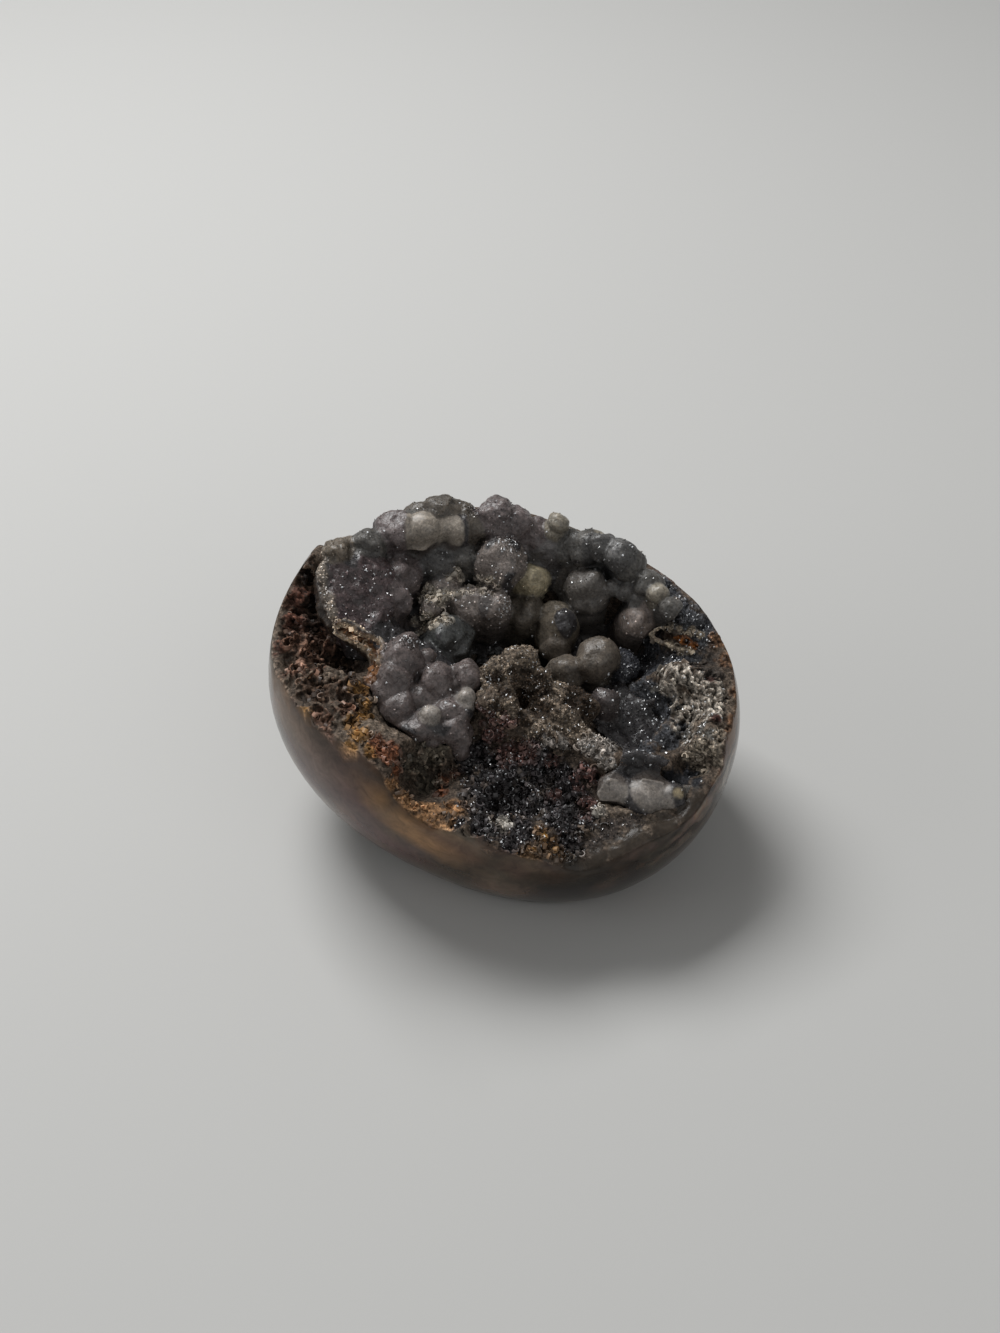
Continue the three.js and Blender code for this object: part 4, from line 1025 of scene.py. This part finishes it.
def pathGap(places, path):
    # each place's distance from a path, and the side of the path it lies on, as seen from above
    nearest = np.full(len(places), 99.0)
    side = np.zeros(len(places))
    ends = np.array(path, dtype=float)
    for start, stop in zip(ends, ends[1:]):
        run = stop - start
        off = places - start
        along = np.clip(off @ run / (run @ run), 0, 1)
        gap = np.linalg.norm(off - along[:, None] * run, axis=1)
        closer = gap < nearest
        nearest = np.where(closer, gap, nearest)
        side = np.where(closer, off[:, 0] * run[1] - off[:, 1] * run[0], side)
    return nearest, side


def nearPath(places, path, reach):
    # 1 on the path, fading to 0 between the two distances of the reach
    return 1 - ramp(pathGap(places, path)[0], *reach)


def levelPlate(piece):
    # the slab at the left: the crust's top there is drawn to one sloping plate
    places = placesOf(piece.data)
    share = np.zeros(len(places))
    for u, v, reach in grapes["plate"]:
        away = np.hypot(places[:, 0] - u, places[:, 1] - v) / reach
        share = np.maximum(share, 1 - ramp(away, *grapes["plateEdge"]))
    facing = facingOf(piece.data)[:, 2]
    share *= ramp(places[:, 2], *grapes["plateUp"]) * ramp(facing, *grapes["plateFacing"])
    top = grapes["plateTop"] - grapes["plateFall"] * (places[:, 0] - grapes["plateFrom"])
    top = top + cloud(places, grapes["plateWaveSize"], seed=6, octaves=2) * grapes["plateWaves"]
    places[:, 2] += share * (top - places[:, 2])
    places[:, 2] -= grapes["lipSink"] * nearPath(places, grapes["lip"], grapes["lipSinkEdge"])
    above = ramp(facing, *grapes["sinkFacing"])
    for u, v, reach, depth in grapes["sinks"]:
        away = np.hypot(places[:, 0] - u, places[:, 1] - v) / reach
        places[:, 2] -= depth * above * (1 - ramp(away, *grapes["sinkEdge"]))
    setPlaces(piece.data, places)


def flatsOf(middle, radius, sawn, bumpy):
    # the flat faces of a grape, as a direction and a distance: soft facets, or the saw cut and its corners
    flats = []
    draws = grapes["draws"]
    if sawn == 1:
        for step in range(grapes["facets"] if bumpy >= grapes["facetsFrom"] else 0):
            shift = Vector((step * draws["facetStep"], step, 0))
            out = noiseVector(middle * draws["facet"] + shift).normalized()
            swell = grapes["facetSpread"] * noise.noise(middle * draws["reach"] + out)
            flats.append((out, radius * (grapes["facetReach"] + swell)))
        return flats
    saw = Vector(grapes["sawDirection"]).normalized()
    across = saw.orthogonal().normalized()
    for step in range(grapes["sawnCorners"]):
        jitter = grapes["cornerJitter"] * noise.noise(middle * draws["corner"] + Vector((step, 0, 0)))
        out = Matrix.Rotation(math.tau * (step + jitter) / grapes["sawnCorners"], 3, saw) @ across
        swell = grapes["cornerSpread"] * noise.noise(middle * draws["reach"] + Vector((0, step, 0)))
        flats.append((out, radius * (grapes["cornerReach"] + swell)))
    return flats + [(saw, sawn * radius)]


def addGrape(bm, u, v, w, radius, squareness, finish):
    middle = Vector((u, v, w))
    flats = flatsOf(middle, radius, *grapes["finishes"][finish][2:])
    stretch = noiseVector(middle * grapes["draws"]["stretch"]) * grapes["stretch"]
    made = bmesh.ops.create_icosphere(bm, subdivisions=4, radius=radius)["verts"]
    for vert in made:
        share = [abs(x) / radius for x in vert.co]
        vert.co *= sum(x ** squareness for x in share) ** (-1 / squareness)
        vert.co *= 1 + grapes["uneven"] * noise.noise((middle + vert.co) / grapes["unevenSize"])
        vert.co += Vector(x * y for x, y in zip(vert.co, stretch))
        vert.co.z *= grapes["tall"].get(finish, 1)
        for out, reach in flats:
            vert.co -= out * max(0, vert.co.dot(out) - reach)
    bmesh.ops.translate(bm, verts=made, vec=middle)


def laceShare(places):
    ragged = cloud(places, grapes["borderSize"], seed=12, octaves=2) * grapes["laceRagged"]
    flat = grapes["laceFlat"]
    spots = [(u, v, w * flat, reach) for u, v, w, reach in grapes["lace"]]
    return spotWeight(places * (1, 1, flat), spots, grapes["laceEdge"], ragged)


def addGrapes(bm):
    for row in allGrapes():
        if row[5] != "slab":
            addGrape(bm, *row)
    addStrands(bm, grapes["strands"], stone["strandStep"])


def makeCrust():
    piece = copyOfNode("grape_crust", "grapeCrust")
    voxelRemesh(piece, grapes["liningVoxel"])
    places = placesOf(piece.data)
    setPlaces(piece.data, relaxed(piece.data, places, grapes["liningSoften"]))
    levelPlate(piece)
    reshape(piece, addGrapes)
    places = placesOf(piece.data)
    crumbly = nearPath(places, grapes["rim"], grapes["rimCrumbs"])
    for _, _, path in grapes["strands"]:
        wall = nearPath(places, path, grapes["wallCrumbs"])
        crumbly = np.maximum(crumbly, grapes["wallOften"] * wall)
    setMask(piece.data, "lipCrumbs", np.maximum(crumbly, laceShare(places)))
    crumb = chunkTemplate(**grapes["chunk"])
    scatterOn(piece, crumb, "lipCrumbs", **grapes["crumbs"])
    bpy.data.objects.remove(crumb)
    voxelRemesh(piece, grapes["voxel"])
    places = placesOf(piece.data)
    kept = pathGap(places, grapes["lip"])[0] < grapes["lipKept"]
    for u, v, w, radius, _, finish in allGrapes():
        if grapes["finishes"][finish][2] < 1:
            kept |= awayFrom(places, (u, v, w)) < radius * grapes["sawnKept"]
    merged = relaxed(piece.data, places, grapes["merging"])
    setPlaces(piece.data, np.where(kept[:, None], places, merged))
    thin(piece, ramp(-facingOf(piece.data)[:, 2], *grapes["spareFacing"]), grapes["mostTriangles"])
    stage(f"crust remeshed, {len(piece.data.vertices)} points")
    return piece


def grapeFinish(places):
    # each point's colour, sparkle, sawn polish and bumps, from the grape that it belongs to
    saw = np.array(Vector(grapes["sawDirection"]).normalized())
    nearest = np.full(len(places), 9.0)
    second = np.full(len(places), 9.0)
    colours = np.tile(paint(grapes["lining"]), (len(places), 1))
    sparkle = np.full(len(places), float(grapes["liningSparkle"]))
    polish = np.zeros(len(places))
    bumps = np.full(len(places), float(grapes["liningBumps"]))
    for u, v, w, radius, _, finish in allGrapes():
        off = places - (u, v, w)
        rise = grapes["tall"].get(finish, 1) - 1
        down = np.clip(off[:, 2], -grapes["stemLength"] * radius, rise * radius)
        away = np.linalg.norm(off - np.outer(down, (0, 0, 1)), axis=1) / radius
        mine = (away < nearest) & (away < grapes["grapeReach"])
        second = np.minimum(second, np.maximum(away, nearest))
        nearest = np.where(mine, away, nearest)
        colour, glints, depth, bumpy = grapes["finishes"][finish]
        # painted shade and light: each grape gets darker toward its foot and lighter toward its top
        high = ramp(off[mine, 2] / radius, -grapes["stemLength"], grapes["tipFrom"])[:, None]
        light = grapes["paintedFootShade"] + (grapes["paintedTipLight"] - grapes["paintedFootShade"]) * high
        colours[mine] = paint(colour) * light
        sparkle[mine] = glints * high[:, 0]
        polish[mine] = 0
        bumps[mine] = bumpy
        if depth < 1:
            outer, inner = grapes["sawnEdge"]
            polish[mine] = ramp(off[mine] @ saw / radius, depth - outer, depth - inner)
            face = polish[mine][:, None]
            colours[mine] = paint(colour) * face + paint(grapes["sawnSide"]) * (1 - face)
    parted = grapes["partDark"] * (1 - ramp(second - nearest, 0, grapes["partWidth"])) * (polish > 0)
    return colours * (1 - parted[:, None]), sparkle, polish, bumps


def crustFinish(places):
    # the same, with the cavity's side, the lips, the lace and the cream walls laid over the grapes
    colours, sparkle, polish, bumps = grapeFinish(places)
    ragged = cloud(places, grapes["borderSize"], seed=4, octaves=2) * grapes["borderRagged"]
    rimGap, rimSide = pathGap(places, grapes["rim"])
    lipGap, lipSide = pathGap(places, grapes["lip"])
    walls = np.minimum(*[pathGap(places, path)[0] for _, _, path in grapes["strands"]])
    # painted shadow: dark paint on the crust's side below the rim and the lip
    side, rimWide, lipWide = grapes["cavityShadowReach"]
    cavity = np.maximum((rimSide > side) * (rimGap < rimWide), (lipSide > side) * (lipGap < lipWide))
    cavity = cavity * (places[:, 2] < grapes["cavityShadowTop"])
    layers = [
        (cavity, "cavityShadow"),
        (1 - ramp(lipGap + ragged, grapes["lipCore"], grapes["lipReach"]), "groove"),
        (1 - ramp(rimGap + ragged, grapes["rimCore"], grapes["rimReach"]), "paleRim"),
        (laceShare(places), "laceColour"),
        (1 - ramp(walls + ragged, *grapes["creamReach"]), "cream"),
    ]
    for share, colour in layers:
        colours = painted(colours, share, grapes[colour])
    plain = 1 - np.maximum(np.maximum(layers[0][0], layers[1][0]), layers[4][0])
    return colours, sparkle * plain, polish * plain, bumps


def finishCrust(piece):
    mesh = piece.data
    places, size = keepInBall(mesh)
    colours, sparkle, polish, bumps = crustFinish(placesOf(mesh))
    colours = relaxed(mesh, colours, rounds=2)
    masks = relaxed(mesh, np.stack([sparkle, polish, bumps], 1), rounds=2)
    cut = ramp(size, grapes["cut"], 1)
    sparkle = masks[:, 0] * (1 - cut)
    polish = np.maximum(masks[:, 1], cut * grapes["cutPolish"])
    bumps = masks[:, 2] * (1 - cut)
    lining = np.abs(colours - paint(grapes["lining"])).sum(1)
    lace = laceShare(places)
    shares = {
        "mounds": bumps * (1 - polish),
        "lobes": bumps * (1 - polish),
        "bubbles": 1 - ramp(lining, *grapes["liningBorder"]),
        "ragged": np.maximum(nearPath(places, grapes["lip"], grapes["raggedReach"]), lace),
        "druzy": np.clip(grapes["druzyLeast"] + sparkle, 0, 1) * (1 - polish),
    }
    for name, share in shares.items():
        displace(piece, name, share, **grapes[name])
    applyModifiers(piece)
    mesh = piece.data
    places, _ = keepInBall(mesh)
    setTint(mesh, colours)
    setMask(mesh, "polish", polish)
    upward = facingOf(mesh)[:, 2] > grapes["growFacing"]
    glints = np.zeros(len(places))
    for u, v, w, reach, share in grapes["glints"]:
        away = awayFrom(places, (u, v, w)) / reach
        glints = np.maximum(glints, share * (1 - ramp(away, *grapes["glintEdge"])))
    setMask(mesh, "sparkle", np.maximum(sparkle * grapes["tipOften"], glints) * upward)
    rim = nearPath(places, grapes["rim"], (grapes["rimCore"], grapes["rimReach"]))
    wall = nearPath(places, grapes["strands"][0][2], grapes["wallReach"])
    sugary = [rim, wall * grapes["wallSugar"], lace, sparkle * grapes["sugarOften"]]
    setMask(mesh, "sugar", np.max(sugary, axis=0) * upward)
    inner = nearPath(places, grapes["lip"], grapes["innerReach"])
    setMask(mesh, "threads", np.maximum(lace, inner * grapes["innerLeaves"]) * upward)
    # the hollow mask, from which the material paints shade in hollows and light on raised edges; the wide
    # hollow deepens the painted shade between the grapes
    near, wide = [hollowOf(mesh, places, rounds) for rounds in grapes["hollowRounds"]]
    setMask(mesh, "hollow", np.where(near > 0, np.maximum(near, wide * grapes["wideHollowShade"]), near))
    piece.vertex_groups.clear()
    stage(f"crust finished, {len(mesh.polygons)} faces")


# What grows on the stone and the crust: its own settings, and how it looks.
crystals = {"perArea": 7, "sizes": ((0.07, 0.07, 0.07), (0.2, 0.2, 0.24)), "lean": 1.1, "seed": 71}
sugar = {"perArea": 14, "sizes": ((0.08, 0.08, 0.08), (0.19, 0.19, 0.2)), "lean": 1.6, "seed": 171}
threads = {"perArea": 3.4, "sizes": ((0.2, 0.2, 0.3), (0.55, 0.5, 0.6)), "lean": 1, "seed": 47}
grownAlike = {"ior": 1.6, "paintedGlintColour": "#e6e9ec", "rarity": 3}      # a high rarity leaves few bright ones
grownLooks = {                # how dim and bright the tint gets, the share painted white as glints, and their surface
    "quartzTips": {"dimmest": 0.7, "brightest": 4, "clear": 0.12, "roughness": 0.08, "coat": 1},
    "sugarGrains": {"dimmest": 0.7, "brightest": 6, "clear": 0.01, "roughness": 0.3, "coat": 0.3},
    "thinLeaves": {"dimmest": 0.9, "brightest": 5, "clear": 0, "roughness": 0.5, "coat": 0},
}

# The two stone materials. A shade is the range that a value comes in, and the range that it darkens
# or lightens the colour by.
# The edge and hollow shades are painted light on raised edges and painted shade in hollows and creases.
agateLook = {
    "clouds": {"Scale": 0.5, "Detail": 7, "Roughness": 0.65, "Distortion": 0.8},
    "cloudShade": (0.3, 0.7, 0.7, 1.4), "cloudsUnderGrain": False,
    "grainsPerMm": 3.2, "speckShade": (0.32, 0.7, 0.45, 1.8), "cellShade": (0, 1, 0.45, 1.7),
    "paintedEdgeLight": (-0.3, -0.02, 2, 1), "paintedHollowShade": (0, 0.28, 1, 0.48),
    "rough": (0, 1, 0.7, 0.7), "polishedRough": 0.16,
    "bump": 0.12, "polishedBump": 0.02,
    "surface": {
        "IOR": 1.4, "Specular IOR Level": 0.25,
        "Subsurface Weight": 0.12, "Subsurface Radius": (1, 0.7, 0.5), "Subsurface Scale": 0.8 * mm,
    },
}
grapeLook = {
    "clouds": {"Scale": 0.6, "Detail": 5, "Roughness": 0.6},
    "cloudShade": (0.3, 0.7, 0.72, 1.35), "cloudsUnderGrain": True,
    "pits": {"Scale": 1.7, "Detail": 2}, "pitShade": (0.66, 0.72, 1, 0.45),
    "grainsPerMm": 3.4, "speckShade": (0.3, 0.7, 0.65, 1.4), "cellShade": (0, 1, 0.78, 1.22),
    "paintedEdgeLight": (-0.25, -0.04, 1.35, 1), "paintedHollowShade": (0, 0.3, 1, 0.4),
    "rough": (0.35, 0.65, 0.25, 0.55), "polishedRough": 0.4,
    "bump": 0.07, "polishedBump": 0.05,
    "surface": {
        "IOR": 1.5,
        "Subsurface Weight": 0.35, "Subsurface Radius": (1, 0.85, 0.7), "Subsurface Scale": 1.4 * mm,
    },
}


def newMaterial(name, surface=()):
    material = bpy.data.materials.new(name)
    material.use_nodes = True
    dress(material, surface)
    return material


def dress(material, surface):
    for socket, value in dict(surface).items():
        fill(material.node_tree.nodes["Principled BSDF"].inputs[socket], value)


def grainGroup():
    # fine crystal grain, from a place in millimetres: specks, a height and a random value for each cell
    group = bpy.data.node_groups.new("crystalGrain", "ShaderNodeTree")
    sockets = [("Place", "INPUT", "Vector"), ("Grains per mm", "INPUT", "Float")]
    sockets += [(name, "OUTPUT", "Float") for name in ("Specks", "Height", "Cells")]
    for name, way, kind in sockets:
        group.interface.new_socket(name, in_out=way, socket_type=f"NodeSocket{kind}")
    start = addNode(group.nodes, "NodeGroupInput").outputs
    where = {"Vector": start["Place"], "Scale": start["Grains per mm"]}
    cells = addNode(group.nodes, "ShaderNodeTexVoronoi", where).outputs
    specks = addNode(group.nodes, "ShaderNodeTexNoise", {**where, "Detail": 5, "Roughness": 0.65}).outputs[0]
    height = addNode(group.nodes, "ShaderNodeMath", {0: cells["Distance"], 1: specks}, operation="MULTIPLY")
    chance = addNode(group.nodes, "ShaderNodeSeparateColor", {0: cells["Color"]})
    ends = {"Specks": specks, "Height": height.outputs[0], "Cells": chance.outputs["Red"]}
    addNode(group.nodes, "NodeGroupOutput", ends)
    return group


def attribute(nodes, name, kind="Fac"):
    return addNode(nodes, "ShaderNodeAttribute", attribute_name=name).outputs[kind]


def mapRange(nodes, value, low, high, toLow, toHigh):
    ends = {"From Min": low, "From Max": high, "To Min": toLow, "To Max": toHigh}
    return addNode(nodes, "ShaderNodeMapRange", {"Value": value, **ends}).outputs["Result"]


def mixed(nodes, kind, share, first, second, blend="MIX"):
    ends = {"Factor": share, "A": first, "B": second}
    return addNode(nodes, "ShaderNodeMix", ends, data_type=kind, blend_type=blend).outputs["Result"]


def shaded(nodes, colour, value, shade):
    return mixed(nodes, "RGBA", 1, colour, mapRange(nodes, value, *shade), "MULTIPLY")


def stoneMaterial(name, look, grain):
    material = newMaterial(name, look["surface"])
    nodes = material.node_tree.nodes
    where = addNode(nodes, "ShaderNodeTexCoord").outputs["Object"]
    inMm = (1 / mm, 1 / mm, 1 / mm)
    place = addNode(nodes, "ShaderNodeMapping", {"Vector": where, "Scale": inMm}).outputs["Vector"]
    polish = attribute(nodes, "polish")
    hollow = attribute(nodes, "hollow")
    tint = attribute(nodes, "tint", "Color")
    clouds = addNode(nodes, "ShaderNodeTexNoise", {"Vector": place, **look["clouds"]}).outputs["Fac"]
    clouded = shaded(nodes, tint, clouds, look["cloudShade"])
    fine = {"Place": place, "Grains per mm": look["grainsPerMm"]}
    fine = addNode(nodes, "ShaderNodeGroup", fine, node_tree=grain).outputs
    colour = clouded if look["cloudsUnderGrain"] else tint
    colour = shaded(nodes, colour, fine["Specks"], look["speckShade"])
    if "pits" in look:
        pits = addNode(nodes, "ShaderNodeTexNoise", {"Vector": place, **look["pits"]}).outputs["Fac"]
        colour = shaded(nodes, colour, pits, look["pitShade"])
    colour = shaded(nodes, colour, fine["Cells"], look["cellShade"])
    # painted light on edges that stand out and painted shade in hollows, from the hollow mask
    colour = shaded(nodes, colour, hollow, look["paintedEdgeLight"])
    colour = shaded(nodes, colour, hollow, look["paintedHollowShade"])
    if not look["cloudsUnderGrain"]:          # the polished skin shows its clouds and no grain
        colour = mixed(nodes, "RGBA", polish, colour, clouded)
    rough = mapRange(nodes, fine["Specks"], *look["rough"])
    deep = mapRange(nodes, polish, 0, 1, 1, look["polishedBump"])
    height = addNode(nodes, "ShaderNodeMath", {0: fine["Height"], 1: deep}, operation="MULTIPLY").outputs[0]
    bump = addNode(nodes, "ShaderNodeBump", {"Distance": look["bump"] * mm, "Height": height})
    dress(material, {
        "Base Color": colour, "Roughness": mixed(nodes, "FLOAT", polish, rough, look["polishedRough"]),
        "Normal": bump.outputs["Normal"],
    })
    return material


def grownMaterial(name):
    # each crystal has its own brightness, and a few are painted white as glints
    look = grownLooks[name]
    surface = {"Roughness": look["roughness"], "IOR": grownAlike["ior"], "Coat Weight": look["coat"]}
    material = newMaterial(name, surface)
    nodes = material.node_tree.nodes
    chance = attribute(nodes, "chance")
    power = {0: chance, 1: grownAlike["rarity"]}
    rare = addNode(nodes, "ShaderNodeMath", power, operation="POWER").outputs[0]
    tint = attribute(nodes, "tint", "Color")
    tinted = shaded(nodes, tint, rare, (0, 1, look["dimmest"], look["brightest"]))
    # painted glints: a few crystals are given a near-white colour
    paintedGlint = mapRange(nodes, chance, 1 - look["clear"], 1.001 - look["clear"], 0, 1)
    dress(material, {"Base Color": mixed(nodes, "RGBA", paintedGlint, tinted, grownAlike["paintedGlintColour"])})
    return material


studio = {
    "elevation": 42, "lens": 43.2, "away": 205.66, "aimRight": -0.45, "aimUp": 3.55,
    "floorSize": 6, "floor": "#c2c2c0",
    "lights": [               # name, place, size and power, in metres and watts
        ("overhead", (-0.2, 0.24, 0.5), 0.3, 3.1),
        ("front", (0.35, -0.45, 0.4), 0.5, 0.6),
        ("rim", (-0.4, -0.1, 0.2), 0.25, 0.25),
    ],
    "world": "#f5f5f4", "worldStrength": 0.2,
}


def makeCamera():
    rise = math.radians(studio["elevation"])
    top = Vector((0, math.sin(rise), math.cos(rise)))
    back = Vector((0, -math.cos(rise), math.sin(rise)))
    aim = Vector((studio["aimRight"], 0, ball["middleUp"])) + top * studio["aimUp"]
    data = bpy.data.cameras.new("camera")
    data.lens = studio["lens"]
    data.clip_start = 0.01
    camera = bpy.data.objects.new("camera", data)
    camera.location = (aim + back * studio["away"]) * mm
    camera.rotation_euler = back.to_track_quat("Z", "Y").to_euler()
    bpy.context.scene.collection.objects.link(camera)
    bpy.context.scene.camera = camera


def makeStudio():
    for name, place, size, power in studio["lights"]:
        data = bpy.data.lights.new(name, "AREA")
        data.size = size
        data.energy = power
        light = bpy.data.objects.new(name, data)
        light.location = place
        light.rotation_euler = Vector(place).to_track_quat("Z", "Y").to_euler()
        bpy.context.scene.collection.objects.link(light)
    world = bpy.data.worlds.new("studio")
    world.use_nodes = True
    sky = world.node_tree.nodes["Background"].inputs
    fill(sky["Color"], studio["world"])
    fill(sky["Strength"], studio["worldStrength"])
    bpy.context.scene.world = world
    bm = bmesh.new()
    bmesh.ops.create_grid(bm, x_segments=1, y_segments=1, size=studio["floorSize"] / 2)
    floor = pieceOf("floor", bm)
    floor.data.materials.append(newMaterial("paleFloor", {"Base Color": studio["floor"], "Roughness": 0.9}))
    bpy.context.scene.view_settings.view_transform = "Standard"


def settle(piece, material, smooth):
    # into the frame: metres, at the origin, inside the CAD solid's box
    mesh = piece.data
    mesh.transform(faceToRow)
    low, high = np.array(cadBox[0]), np.array(cadBox[1])
    setPlaces(mesh, np.clip(placesOf(mesh), low, high))
    mesh.materials.clear()
    mesh.materials.append(material)
    mesh.polygons.foreach_set("use_smooth", [smooth] * len(mesh.polygons))
    mesh.update()


makeCamera()
makeStudio()
stage("studio made")
body = makeStone()
crust = makeCrust()
finishStone(body)
finishCrust(crust)
tip = crystalTemplate()
tips = scatterPiece("quartzTips", [body, crust], tip, "sparkle", **crystals)
grains = scatterPiece("sugarGrains", [body, crust], tip, "sugar", **sugar)
bpy.data.objects.remove(tip)
curl = curlTemplate()
leaves = scatterPiece("thinLeaves", [body, crust], curl, "threads", **threads)
bpy.data.objects.remove(curl)
stage(f"crystals grown, {[len(piece.data.polygons) for piece in (tips, grains, leaves)]} faces")

grain = grainGroup()
settle(body, stoneMaterial("agateStone", agateLook, grain), True)
settle(crust, stoneMaterial("grapeChalcedony", grapeLook, grain), True)
for piece in (tips, grains, leaves):
    settle(piece, grownMaterial(piece.name), False)
for piece in (body, crust, tips, grains, leaves):
    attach(piece, "root")
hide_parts("agate_body")
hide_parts("grape_crust")
stage("pieces settled")
